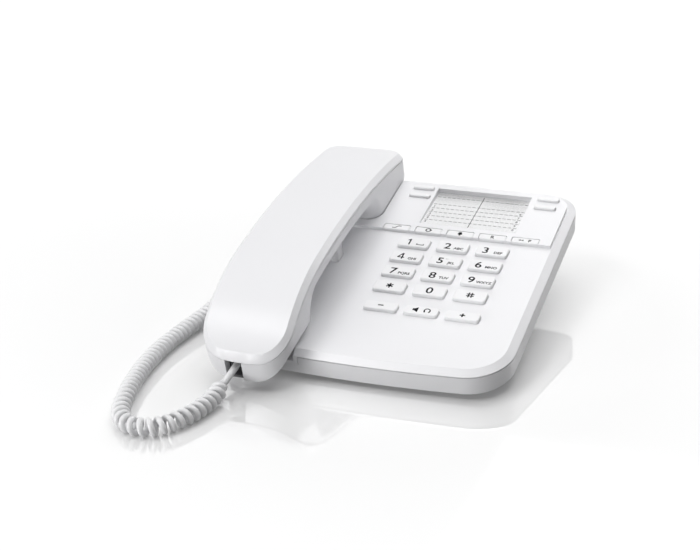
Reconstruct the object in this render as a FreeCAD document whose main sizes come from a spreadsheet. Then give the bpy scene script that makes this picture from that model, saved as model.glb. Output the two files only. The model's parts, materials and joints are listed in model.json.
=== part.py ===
# A corded desk telephone with its handset at rest, modelled as named sub-parts.
# Base and handset are drawn level in the panel's own frame, where x runs across the case, y runs up
# the sloping panel and z stands square to it, with the middle digit key at keypad_x, 0, 0.
# They are then tipped to the panel's slope. The cord and the feet are drawn in the room's frame.
import FreeCAD
import Part
import Sketcher
import math
import os

Vector = FreeCAD.Vector
document = FreeCAD.newDocument("DeskTelephone")
sheet = document.addObject("Spreadsheet::Sheet", "Sizes")
sizes = {}
nodes = []


def size(name, value):
    """Put one named size, in millimetres, degrees or a count, on the sheet and return it."""
    row = len(sizes) + 1
    sheet.set("A%d" % row, name)
    sheet.set("B%d" % row, repr(float(value)))
    sheet.setAlias("B%d" % row, name)
    sizes[name] = float(value)
    return sizes[name]


# The case
case_width = size("case_width", 168.5)
front_reach = size("front_reach", 95.2)
back_reach = size("back_reach", 84.0)
front_bow = size("front_bow", 4.6)
back_bow = size("back_bow", 2.0)
case_corner = size("case_corner", 25.0)
rear_corner = size("rear_corner", 19.0)
slope = size("slope", 12.0)
panel_height = size("panel_height", 36.6)
plate = size("plate", 2.8)
bevel_height = size("bevel_height", 2.4)
bevel_width = size("bevel_width", 4.2)
wall_height = size("wall_height", 11.4)
wall_taper = size("wall_taper", -4.0)
shell = size("shell", 2.3)
plinth_width = size("plinth_width", 112.0)
plinth_front = size("plinth_front", 80.0)
plinth_back = size("plinth_back", 56.0)
plinth_corner = size("plinth_corner", 5.0)
foot_height = size("foot_height", 1.5)
foot_radius = size("foot_radius", 6.0)
foot_inset = size("foot_inset", 9.0)
rear_step = size("rear_step", 1.9)
step_line = size("step_line", 25.2)
step_margin = size("step_margin", 3.0)
step_side_margin = size("step_side_margin", 0.8)

# The keys
keypad_margin = size("keypad_margin", 59.5)
column_pitch = size("column_pitch", 23.4)
row_pitch = size("row_pitch", 14.5)
key_width = size("key_width", 18.5)
key_depth = size("key_depth", 9.1)
key_corner = size("key_corner", 1.5)
key_height = size("key_height", 2.0)
key_edge = size("key_edge", 0.7)
key_gap = size("key_gap", 0.2)
key_travel = size("key_travel", 1.2)
call_row = size("call_row", 47.4)
call_shift = size("call_shift", 1.1)
call_width = size("call_width", 19.2)
call_depth = size("call_depth", 6.9)
call_corner = size("call_corner", 1.5)
pip_radius = size("pip_radius", 0.7)
pip_height = size("pip_height", 0.4)
pip_round = size("pip_round", 0.3)
pip_x = size("pip_x", 0.3)
pip_y = size("pip_y", 1.8)
function_pitch = size("function_pitch", 19.45)
function_width = size("function_width", 15.9)
function_depth = size("function_depth", 5.0)
function_corner = size("function_corner", 0.9)
function_shift = size("function_shift", 0.4)
memory_width = size("memory_width", 13.0)
memory_depth = size("memory_depth", 3.4)
memory_corner = size("memory_corner", 1.2)
memory_height = size("memory_height", 1.5)
memory_left = size("memory_left", 35.45)
memory_right = size("memory_right", 42.1)
memory_row = size("memory_row", 70.6)
memory_pitch = size("memory_pitch", 8.7)
flange_rim = size("flange_rim", 1.0)
flange_thick = size("flange_thick", 1.2)
stem_length = size("stem_length", 1.2)
stem_radius = size("stem_radius", 1.6)
stop_gap = size("stop_gap", 0.2)

# The card
card_width = size("card_width", 58.4)
card_shift = size("card_shift", 2.5)
card_front = size("card_front", 33.9)
card_back = size("card_back", 72.3)
card_deep = size("card_deep", 3.3)
card_shallow = size("card_shallow", 1.0)
card_thick = size("card_thick", 0.3)
card_gap = size("card_gap", 0.3)
window_thick = size("window_thick", 0.7)

# The board under the keys
mat_thick = size("mat_thick", 1.2)
dome_height = size("dome_height", 0.8)
dome_radius = size("dome_radius", 1.5)
board_thick = size("board_thick", 1.6)
board_width = size("board_width", 104.0)
board_depth = size("board_depth", 133.5)
board_y = size("board_y", 6.75)
mat_shift = size("mat_shift", 4.2)
mat_side_margin = size("mat_side_margin", 8.0)
mat_end_margin = size("mat_end_margin", 4.5)
board_post_inset = size("board_post_inset", 4.0)
board_post_front = size("board_post_front", 61.5)
board_post_back = size("board_post_back", 41.5)
post_radius = size("post_radius", 3.2)
screw_radius = size("screw_radius", 1.3)
screw_hole = size("screw_hole", 1.6)
screw_head = size("screw_head", 2.6)
head_thick = size("head_thick", 1.4)
screw_depth = size("screw_depth", 4.5)
screw_bite = size("screw_bite", 3.5)
case_post_side = size("case_post_side", 11.25)
case_post_front = size("case_post_front", 29.2)
case_post_spread = size("case_post_spread", 90.0)
case_post_back = size("case_post_back", 6.5)

# The handset
handset_margin = size("handset_margin", 31.65)
handset_width = size("handset_width", 51.5)
handset_front = size("handset_front", 115.5)
handset_back = size("handset_back", 90.5)
handset_front_bow = size("handset_front_bow", 3.0)
handset_back_bow = size("handset_back_bow", 2.0)
front_corner = size("front_corner", 17.0)
back_corner = size("back_corner", 11.0)
crown_y = size("crown_y", -38.0)
crown_z = size("crown_z", 33.8)
crown_radius = size("crown_radius", 464.0)
turn_y = size("turn_y", -55.0)
turn_radius = size("turn_radius", 95.7)
nose_rise = size("nose_rise", 7.5)
cover_thick = size("cover_thick", 4.2)
seam_gap = size("seam_gap", 0.4)
cover_bevel = size("cover_bevel", 2.8)
grip_thick = size("grip_thick", 16.2)
cup_depth = size("cup_depth", 6.0)
cup_gap = size("cup_gap", 0.4)
cup_room = size("cup_room", 2.0)
ear_front = size("ear_front", 34.0)
mouth_back = size("mouth_back", -72.0)
block_lean = size("block_lean", 4.0)
block_round = size("block_round", 11.0)
body_edge = size("body_edge", 9.0)
body_wall = size("body_wall", 2.3)
hull_round = size("hull_round", 20.0)
chin_length = size("chin_length", 18.5)
chin_height = size("chin_height", 10.5)
mouth_floor = size("mouth_floor", 2.5)
mouth_room = size("mouth_room", 0.8)
mouth_cup_corner = size("mouth_cup_corner", 1.0)
capsule_gap = size("capsule_gap", 0.1)
receiver_radius = size("receiver_radius", 16.5)
receiver_height = size("receiver_height", 9.0)
microphone_radius = size("microphone_radius", 4.85)
microphone_height = size("microphone_height", 5.0)
ballast_length = size("ballast_length", 46.0)
ballast_width = size("ballast_width", 28.0)
ballast_height = size("ballast_height", 6.0)
ballast_gap = size("ballast_gap", 0.1)
hollow_margin = size("hollow_margin", 1.0)
hollow_side = size("hollow_side", 5.8)
hollow_end = size("hollow_end", 7.0)
receiver_y = size("receiver_y", 58.0)
microphone_offset = size("microphone_offset", 2.0)
microphone_y = size("microphone_y", -86.0)
sound_hole = size("sound_hole", 0.9)
sound_ring = size("sound_ring", 4.0)
sound_pitch = size("sound_pitch", 3.0)

# The hook switch
hook_offset = size("hook_offset", 13.4)
hook_y = size("hook_y", -6.0)
hook_width = size("hook_width", 5.0)
hook_length = size("hook_length", 10.0)
hook_corner = size("hook_corner", 2.2)
hook_travel = size("hook_travel", 4.0)
hook_edge = size("hook_edge", 1.2)
hook_gap = size("hook_gap", 0.35)
hook_rim = size("hook_rim", 1.5)
switch_width = size("switch_width", 12.0)
switch_length = size("switch_length", 18.0)

# Sockets, plugs and cord
plug_width = size("plug_width", 7.4)
plug_height = size("plug_height", 6.2)
plug_length = size("plug_length", 9.0)
plug_gap = size("plug_gap", 0.2)
socket_wall = size("socket_wall", 1.0)
socket_length = size("socket_length", 11.0)
socket_set_back = size("socket_set_back", 5.5)
bay_room = size("bay_room", 4.0)
handset_socket_offset = size("handset_socket_offset", 4.1)
handset_socket_z = size("handset_socket_z", 0.8)
base_socket_y = size("base_socket_y", 10.0)
line_socket_margin = size("line_socket_margin", 26.0)
line_socket_z = size("line_socket_z", -30.0)
line_socket_wall = size("line_socket_wall", 1.5)
line_socket_length = size("line_socket_length", 14.0)
line_width = size("line_width", 10.0)
line_height = size("line_height", 7.0)
wire_diameter = size("wire_diameter", 3.2)
coil_diameter = size("coil_diameter", 10.2)
cord_lead = size("cord_lead", 6.0)
plug_out = size("plug_out", 1.0)
opening_corner = size("opening_corner", 0.6)

# The loudspeaker and the wall slots
speaker_margin = size("speaker_margin", 28.0)
speaker_y = size("speaker_y", 5.0)
speaker_radius = size("speaker_radius", 25.0)
speaker_height = size("speaker_height", 14.0)
speaker_rim = size("speaker_rim", 3.0)
magnet_radius = size("magnet_radius", 12.5)
magnet_height = size("magnet_height", 6.3)
slot_width = size("slot_width", 2.0)
slot_length = size("slot_length", 34.0)
slot_pitch = size("slot_pitch", 6.0)
wall_hole_radius = size("wall_hole_radius", 4.2)
wall_neck_radius = size("wall_neck_radius", 2.2)
wall_hole_spread = size("wall_hole_spread", 60.0)
wall_hole_inset = size("wall_hole_inset", 16.0)
wall_neck_corner = size("wall_neck_corner", 0.4)

# Sizes that follow from those above
# run_in is how far fused pieces reach into each other, and run_past how far a cut passes a face
run_in = 0.5
run_past = 1.0
half_width = case_width / 2
keypad_x = half_width - keypad_margin
handset_x = handset_margin - half_width
hook_x = handset_x + hook_offset
handset_socket_x = handset_x - handset_socket_offset
microphone_x = handset_x + microphone_offset
line_socket_x = line_socket_margin - plinth_width / 2
speaker_x = plinth_width / 2 - speaker_margin
wall_hole_y = plinth_back - wall_hole_inset
seam = -plate
wall_bottom = seam - wall_height
tray_floor = wall_bottom + shell
flange_top = seam
stem_bottom = flange_top - flange_thick - stem_length
mat_top = stem_bottom - key_travel - stop_gap - dome_height
board_top = mat_top - mat_thick
board_bottom = board_top - board_thick
cup_floor = -cup_depth
cup_bottom = cup_floor - shell
cup_width = size("cup_width", handset_width + 2 * cup_gap)
hull_top = cup_floor + hull_round
hull_side = handset_width / 2 - hull_round
hull_at_panel = hull_side + math.sqrt(hull_round ** 2 - hull_top ** 2)
cup_half = {"mouth": hull_at_panel + mouth_room, "ear": cup_width / 2}
key_hole_width = size("key_hole_width", key_width + 2 * key_gap)
key_hole_depth = size("key_hole_depth", key_depth + 2 * key_gap)
key_hole_corner = size("key_hole_corner", key_corner + key_gap)
call_hole_width = size("call_hole_width", call_width + 2 * key_gap)
call_hole_depth = size("call_hole_depth", call_depth + 2 * key_gap)
function_hole_width = size("function_hole_width", function_width + 2 * key_gap)
function_hole_depth = size("function_hole_depth", function_depth + 2 * key_gap)
memory_hole_width = size("memory_hole_width", memory_width + 2 * key_gap)
memory_hole_depth = size("memory_hole_depth", memory_depth + 2 * key_gap)
column_span = size("column_span", 2 * column_pitch)
function_span = size("function_span", 4 * function_pitch)
function_first = keypad_x - 2 * function_pitch + function_shift
function_y = step_line + function_depth / 2
panel_tip = FreeCAD.Rotation(Vector(1, 0, 0), slope)
level_again = FreeCAD.Rotation(Vector(1, 0, 0), -slope)
slope_angle = math.radians(slope)


def ground_level(y, height):
    """The panel-frame z, at panel-frame y, of a level plane that high above the desk."""
    return (height - panel_height - y * math.sin(slope_angle)) / math.cos(slope_angle)


def bind(item, path, name):
    item.setExpression(path, "Sizes." + name)


def new_body(name):
    body = document.addObject("PartDesign::Body", name)
    body.Label = name
    return body


def sketch_on(body, name, role, x=0.0, y=0.0, level=0.0, rotation=None):
    """A sketch on one of the body's origin planes, moved within that plane and raised by level."""
    plane = [item for item in body.Origin.OriginFeatures if item.Role == role][0]
    sketch = body.newObject("Sketcher::SketchObject", name)
    sketch.AttachmentSupport = (plane, [""])
    sketch.MapMode = "FlatFace"
    turn = rotation if rotation is not None else FreeCAD.Rotation()
    sketch.AttachmentOffset = FreeCAD.Placement(Vector(x, y, level), turn)
    return sketch


def add_loop(sketch, edges):
    for edge in edges:
        sketch.addGeometry(edge, False)


def line(start, end):
    return Part.LineSegment(Vector(start[0], start[1], 0), Vector(end[0], end[1], 0))


def polygon(sketch, points):
    add_loop(sketch, [line(a, b) for a, b in zip(points, points[1:] + points[:1])])


def arc(centre, radius, first, last):
    """An arc that runs counter-clockwise between two angles in radians."""
    circle = Part.Circle(Vector(centre[0], centre[1], 0), Vector(0, 0, 1), radius)
    return Part.ArcOfCircle(circle, first, last)


def add_constraint(sketch, *words):
    return sketch.addConstraint(Sketcher.Constraint(*words))


def rounded_rectangle(sketch, width, depth, corner):
    """A rounded rectangle about the sketch's origin, held by three named sizes of the sheet."""
    across = sizes[width] / 2
    along = sizes[depth] / 2
    radius = sizes[corner]
    quarter = math.pi / 2
    corners = [(across, along), (-across, along), (-across, -along), (across, -along)]
    for index, (x, y) in enumerate(corners):
        centre = (x - math.copysign(radius, x), y - math.copysign(radius, y))
        sketch.addGeometry(arc(centre, radius, index * quarter, (index + 1) * quarter), False)
        after = corners[(index + 1) % 4]
        step = (math.copysign(radius, after[0] - x), 0)
        if y != after[1]:
            step = (0, math.copysign(radius, after[1] - y))
        start = (x + step[0], y + step[1])
        end = (after[0] - step[0], after[1] - step[1])
        sketch.addGeometry(line(start, end), False)
    for index in range(4):
        own_arc = 2 * index
        own_line = own_arc + 1
        next_arc = (own_arc + 2) % 8
        add_constraint(sketch, "Tangent", own_arc, 2, own_line, 1)
        add_constraint(sketch, "Tangent", own_line, 2, next_arc, 1)
        add_constraint(sketch, "Horizontal" if index % 2 == 0 else "Vertical", own_line)
    for other in (2, 4, 6):
        add_constraint(sketch, "Equal", 0, other)
    add_constraint(sketch, "Symmetric", 0, 3, 4, 3, -1, 1)
    named = [("Radius", (0,), radius, "corner", corner)]
    named.append(("DistanceX", (3, 1, 7, 1), 2 * across, "width", width))
    named.append(("DistanceY", (5, 1, 1, 1), 2 * along, "depth", depth))
    for kind, place, value, label, name in named:
        index = add_constraint(sketch, kind, *place, value)
        sketch.renameConstraint(index, label)
        bind(sketch, "Constraints." + label, name)


def circle_sketch(sketch, radius):
    sketch.addGeometry(Part.Circle(Vector(0, 0, 0), Vector(0, 0, 1), sizes[radius]), False)
    add_constraint(sketch, "Coincident", 0, 3, -1, 1)
    index = add_constraint(sketch, "Radius", 0, sizes[radius])
    sketch.renameConstraint(index, "radius")
    bind(sketch, "Constraints.radius", radius)


def pad(body, sketch, length, name=None, reverse=False, middle=False):
    """Pad a sketch by a length, or by a named size of the sheet."""
    item = body.newObject("PartDesign::Pad", sketch.Name + "_pad")
    item.Profile = sketch
    item.Length = length
    if name:
        bind(item, "Length", name)
    item.Reversed = reverse
    if middle:
        item.SideType = "Symmetric"
    body.Tip = item
    return item


def pocket(body, sketch, length=None, name=None, reverse=False, middle=False):
    """Cut a sketch by a length or, without one, right through both ways."""
    item = body.newObject("PartDesign::Pocket", sketch.Name + "_pocket")
    item.Profile = sketch
    if length is None:
        item.Type = "ThroughAll"
        item.SideType = "Symmetric"
    else:
        item.Length = length
        if middle:
            item.SideType = "Symmetric"
    if name:
        bind(item, "Length", name)
    item.Reversed = reverse
    body.Tip = item
    return item


def row_of(body, feature, sketch, axis, span, count):
    item = body.newObject("PartDesign::LinearPattern", feature.Name + "_row")
    item.Originals = [feature]
    item.Direction = (sketch, [axis])
    item.Length = sizes[span]
    bind(item, "Length", span)
    item.Occurrences = count
    body.Tip = item
    return item


def edges_where(item, test):
    document.recompute()
    found = []
    for index, edge in enumerate(item.Shape.Edges):
        points = [edge.valueAt(edge.FirstParameter + part * (edge.LastParameter - edge.FirstParameter))
                  for part in (0.0, 0.5, 1.0)]
        if all(test(point) for point in points):
            found.append("Edge%d" % (index + 1))
    return found


def round_edges(body, base, names, radius):
    item = body.newObject("PartDesign::Fillet", base.Name + "_fillet")
    item.Base = (base, names)
    item.Radius = sizes[radius]
    bind(item, "Radius", radius)
    body.Tip = item
    return item


def bevel_edges(body, base, names, first, second):
    item = body.newObject("PartDesign::Chamfer", base.Name + "_chamfer")
    item.Base = (base, names)
    item.ChamferType = "Two distances" if first != second else "Equal distance"
    item.Size = sizes[first]
    bind(item, "Size", first)
    if first != second:
        item.Size2 = sizes[second]
        bind(item, "Size2", second)
    body.Tip = item
    return item


def near(value, target):
    return abs(value - target) < 0.01


def finish(item, placement):
    item.Placement = placement
    nodes.append(item)
    return item


def bowed_outline(half, front, back, bow_front, bow_back, radius_front, radius_back, x=0.0, inset=0.0):
    """A closed outline with two straight sides, two gently bowed ends and four round corners."""
    edges = []
    ends = []
    for reach, bow, radius, way in ((back, bow_back, radius_back, 1), (-front, bow_front, radius_front, -1)):
        sweep = (half * half + bow * bow) / (2 * bow)
        centre = reach - way * sweep
        corner_y = centre + way * math.sqrt((sweep - radius) ** 2 - (half - radius) ** 2)
        lean = math.atan2(half - radius, way * (corner_y - centre))
        ends.append((centre, sweep - inset, corner_y, radius - inset, lean))
    quarter = math.pi / 2
    centre, sweep, corner_y, radius, lean = ends[0]
    side = half - inset
    upper = corner_y
    edges.append(arc((x + half - radius - inset, corner_y), radius, 0, quarter - lean))
    edges.append(arc((x, centre), sweep, quarter - lean, quarter + lean))
    edges.append(arc((x - half + radius + inset, corner_y), radius, quarter + lean, 2 * quarter))
    centre, sweep, corner_y, radius, lean = ends[1]
    edges.append(line((x - side, upper), (x - side, corner_y)))
    edges.append(arc((x - half + radius + inset, corner_y), radius, 2 * quarter, 3 * quarter - lean))
    edges.append(arc((x, centre), sweep, 3 * quarter - lean, 3 * quarter + lean))
    edges.append(arc((x + half - radius - inset, corner_y), radius, 3 * quarter + lean, 4 * quarter))
    edges.append(line((x + side, corner_y), (x + side, upper)))
    return edges


def case_outline(inset=0.0):
    return bowed_outline(half_width, front_reach, back_reach, front_bow, back_bow,
                         case_corner, rear_corner, 0.0, inset)


def handset_outline():
    return bowed_outline(handset_width / 2, handset_front, handset_back, handset_front_bow,
                         handset_back_bow, front_corner, back_corner, handset_x)


def crown_curve(drop, back, front, rise):
    """The handset's side curve, that far under its crown, as two tangent arcs from back to front.

    The nose's arc may be given a rise, which makes it wider than the crown's.
    """
    centre = (crown_y, crown_z - crown_radius)
    height = math.sqrt(crown_radius ** 2 - (turn_y - crown_y) ** 2)
    share = (turn_radius + rise) / crown_radius
    second = (turn_y + (crown_y - turn_y) * share, centre[1] + height * (1 - share))
    main = crown_radius - drop
    nose = turn_radius + rise - drop
    start = math.acos((back - centre[0]) / main)
    middle = math.atan2(height, turn_y - crown_y)
    end = math.acos((front - second[0]) / nose)
    return arc(centre, main, start, middle), arc(second, nose, middle, end)


def crown_height(y, drop):
    """The height of the main arc of that curve."""
    return crown_z - crown_radius + math.sqrt((crown_radius - drop) ** 2 - (y - crown_y) ** 2)


def ends_of(curve):
    start = curve.StartPoint
    end = curve.EndPoint
    return (start.x, start.y), (end.x, end.y)


# The keys' places and what they are called
digit_names = [["1", "2", "3"], ["4", "5", "6"], ["7", "8", "9"], ["star", "0", "hash"]]
key_places = []
for row, names in enumerate(digit_names):
    for column, name in enumerate(names):
        place = (keypad_x + (column - 1) * column_pitch, (1 - row) * row_pitch)
        key_places.append(("key_" + name, "digit", place))
for column, name in enumerate(("volume_down_key", "handsfree_key", "volume_up_key")):
    place = (keypad_x + call_shift + (column - 1) * column_pitch, -call_row)
    key_places.append((name, "call", place))
for column in range(5):
    place = (function_first + column * function_pitch, function_y)
    key_places.append(("function_key_%d" % (column + 1), "function", place))
for row in range(2):
    y = memory_row - row * memory_pitch
    for side, x in enumerate((keypad_x - memory_left, keypad_x + memory_right)):
        key_places.append(("memory_key_%d" % (2 * row + side + 1), "memory", (x, y)))

key_cap = size("key_cap", plate + key_height)
call_cap = size("call_cap", plate + key_height)
function_cap = size("function_cap", plate + rear_step)
memory_cap = size("memory_cap", plate + rear_step + memory_height)
for kind, width, depth in (("digit", key_width, key_depth), ("call", call_width, call_depth),
                           ("function", function_width, function_depth),
                           ("memory", memory_width, memory_depth)):
    size(kind + "_flange_width", width + 2 * flange_rim)
    size(kind + "_flange_depth", depth + 2 * flange_rim)
mat_y = board_y + mat_shift
mat_width = size("mat_width", board_width - 2 * mat_side_margin)
mat_depth = size("mat_depth", board_depth - 2 * mat_end_margin)
card_x = keypad_x + card_shift
card_paper = size("card_paper", card_width - 4 * card_gap)
card_cover = size("card_cover", card_width - 2 * card_gap)
hook_hole_width = size("hook_hole_width", hook_width + 2 * key_gap)
hook_hole_length = size("hook_hole_length", hook_length + 2 * key_gap)
hook_flange = seam - hook_travel - stop_gap
hook_flange_width = size("hook_flange_width", hook_width + 2 * hook_rim)
hook_flange_length = size("hook_flange_length", hook_length + 2 * hook_rim)
hook_top = crown_z - crown_radius + math.sqrt((crown_radius - grip_thick) ** 2
                                              - (hook_y + hook_length / 2 - crown_y) ** 2) - hook_gap
hook_post = size("hook_post", hook_top - hook_flange)
switch_height = size("switch_height", hook_flange - flange_thick - hook_gap - tray_floor)
wall_below_seam = size("wall_below_seam", wall_height - seam_gap)
plinth_inside = size("plinth_inside", plinth_width - 2 * shell)
socket_width = size("socket_width", plug_width + 2 * plug_gap)
socket_height = size("socket_height", plug_height + 2 * plug_gap)
socket_half = socket_width / 2 + socket_wall
socket_rise = socket_height / 2 + socket_wall
cord_hole_width = size("cord_hole_width", socket_width + plug_gap)
cord_hole_height = size("cord_hole_height", socket_height + plug_gap)
base_socket_z = tray_floor + socket_rise
socket_top = handset_socket_z + socket_rise
wall_neck_width = size("wall_neck_width", 2 * wall_neck_radius)
wall_run = size("wall_run", 2 * wall_hole_radius - 2 * run_past)
slot_corner = size("slot_corner", slot_width / 2 - 0.04)
slot_span = size("slot_span", 4 * slot_pitch)
handset_inside = size("handset_inside", handset_width - 2 * hollow_side)
well_radius = size("well_radius", microphone_radius + capsule_gap)
past_back = handset_back + 5 * run_past
past_front = -handset_front - 5 * run_past
over_handset = crown_z + 4 * cup_depth
under_handset = -4 * cup_depth
screw_places = [(side * (half_width - case_post_side), case_post_front - front_reach) for side in (-1, 1)]
screw_places += [(side * case_post_spread / 2, back_reach - case_post_back) for side in (-1, 1)]
board_posts = [(keypad_x + side * (board_width / 2 - board_post_inset), board_y + y)
               for side in (-1, 1) for y in (-board_post_front, board_post_back)]
post_length = seam - board_top


def make_upper_case():
    body = new_body("upper_case")
    outline = sketch_on(body, "case_plan", "XY_Plane", level=seam)
    add_loop(outline, case_outline())
    top = pad(body, outline, plate, "plate")
    rim = edges_where(top, lambda point: near(point.z, 0))
    top = bevel_edges(body, top, rim, "bevel_height", "bevel_width")
    # Tubs under the two cups that the handset lies in
    for name, low, high in cup_spans():
        tub = sketch_on(body, name + "_tub", "XY_Plane", handset_x, (low + high) / 2, cup_bottom)
        half = cup_half[name] + shell
        depth = (high - low) / 2 + shell
        polygon(tub, [(-half, -depth), (half, -depth), (half, depth), (-half, depth)])
        pad(body, tub, seam - cup_bottom + run_in)
    trim = sketch_on(body, "trim", "XY_Plane")
    add_loop(trim, case_outline())
    far = 2 * case_width
    polygon(trim, [(-far, -far), (far, -far), (far, far), (-far, far)])
    pocket(body, trim, run_past - cup_bottom)
    # The raised panel behind the step
    step_back = back_reach - bevel_width - step_margin
    left = handset_x - cup_width / 2
    right = half_width - bevel_width - step_side_margin
    raised = sketch_on(body, "raised_panel", "XY_Plane")
    round_in = rear_corner - bevel_width - step_side_margin
    centre = (right - round_in, step_back - round_in)
    edges = [line((left, step_line), (right, step_line)), line((right, step_line), (right, centre[1]))]
    edges.append(arc(centre, round_in, 0, math.pi / 2))
    edges.append(line((centre[0], step_back), (left, step_back)))
    edges.append(line((left, step_back), (left, step_line)))
    add_loop(raised, edges)
    pad(body, raised, rear_step, "rear_step")
    # The cups themselves, open at the case's front and back
    corners = (mouth_cup_corner, body_edge + cup_gap)
    for way, corner, (name, low, high) in zip((1, -1), corners, cup_spans()):
        cup = sketch_on(body, name + "_cup", "XY_Plane", handset_x, (low + high) / 2, rear_step + run_past)
        add_loop(cup, cup_outline(cup_half[name], (high - low) / 2, corner, way))
        pocket(body, cup, rear_step + run_past + cup_depth)
    # The key openings, one pocket per row
    first = keypad_x - column_pitch
    digits = sketch_on(body, "digit_opening", "XY_Plane", first, row_pitch)
    rounded_rectangle(digits, "key_hole_width", "key_hole_depth", "key_hole_corner")
    for row in range(4):
        hole = digits
        if row:
            hole = sketch_on(body, "digit_opening_%d" % row, "XY_Plane", first, (1 - row) * row_pitch)
            rounded_rectangle(hole, "key_hole_width", "key_hole_depth", "key_hole_corner")
        cut = pocket(body, hole)
        row_of(body, cut, hole, "H_Axis", "column_span", 3)
    calls = sketch_on(body, "call_opening", "XY_Plane", first + call_shift, -call_row)
    rounded_rectangle(calls, "call_hole_width", "call_hole_depth", "key_hole_corner")
    row_of(body, pocket(body, calls), calls, "H_Axis", "column_span", 3)
    functions = sketch_on(body, "function_opening", "XY_Plane", function_first, function_y)
    rounded_rectangle(functions, "function_hole_width", "function_hole_depth", "function_corner")
    row_of(body, pocket(body, functions), functions, "H_Axis", "function_span", 5)
    for name, kind, place in key_places:
        if kind == "memory":
            hole = sketch_on(body, name + "_opening", "XY_Plane", place[0], place[1])
            rounded_rectangle(hole, "memory_hole_width", "memory_hole_depth", "memory_corner")
            pocket(body, hole)
    # The wedge recess for the card, level with the panel at its front and deep at its back
    card = sketch_on(body, "card_recess", "YZ_Plane", level=card_x)
    deep = rear_step - card_deep
    shallow = rear_step - card_shallow
    over = rear_step + run_past
    polygon(card, [(card_front, shallow), (card_back, deep), (card_back, over), (card_front, over)])
    pocket(body, card, card_width, "card_width", middle=True)
    # The opening for the hook switch and the posts for the screws
    hook = sketch_on(body, "hook_opening", "XY_Plane", hook_x, hook_y)
    rounded_rectangle(hook, "hook_hole_width", "hook_hole_length", "hook_corner")
    pocket(body, hook)
    for index, (x, y) in enumerate(screw_places):
        low = tray_floor
        high = run_in + (cup_bottom if x < 0 else seam)
        post = sketch_on(body, "case_post_%d" % index, "XY_Plane", x, y, low)
        circle_sketch(post, "post_radius")
        pad(body, post, high - low)
        hole = sketch_on(body, "case_hole_%d" % index, "XY_Plane", x, y, low)
        circle_sketch(hole, "screw_hole")
        pocket(body, hole, screw_depth, reverse=True)
    for index, (x, y) in enumerate(board_posts):
        post = sketch_on(body, "board_post_%d" % index, "XY_Plane", x, y, board_top)
        circle_sketch(post, "post_radius")
        pad(body, post, post_length + run_in)
        hole = sketch_on(body, "board_hole_%d" % index, "XY_Plane", x, y, board_top)
        circle_sketch(hole, "screw_hole")
        pocket(body, hole, screw_depth, reverse=True)
    return body


def cup_spans():
    """The two cups' spans along the panel, each running out past the case's end."""
    front = ("mouth", -front_reach - run_past, mouth_back + cup_room)
    back = ("ear", ear_front - cup_room, back_reach + run_past)
    return [front, back]


def cup_outline(half, depth, corner, way):
    """A cup's plan about its own middle, with round corners at the end that lies that way."""
    side = way * half
    end = way * depth
    turn = end - way * corner
    right = side - way * corner
    start = 0.0 if way > 0 else math.pi
    quarter = math.pi / 2
    edges = [line((-side, -end), (side, -end)), line((side, -end), (side, turn))]
    edges.append(arc((right, turn), corner, start, start + quarter))
    edges.append(line((right, end), (-right, end)))
    edges.append(arc((-right, turn), corner, start + quarter, start + 2 * quarter))
    edges.append(line((-side, turn), (-side, -end)))
    return edges


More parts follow.
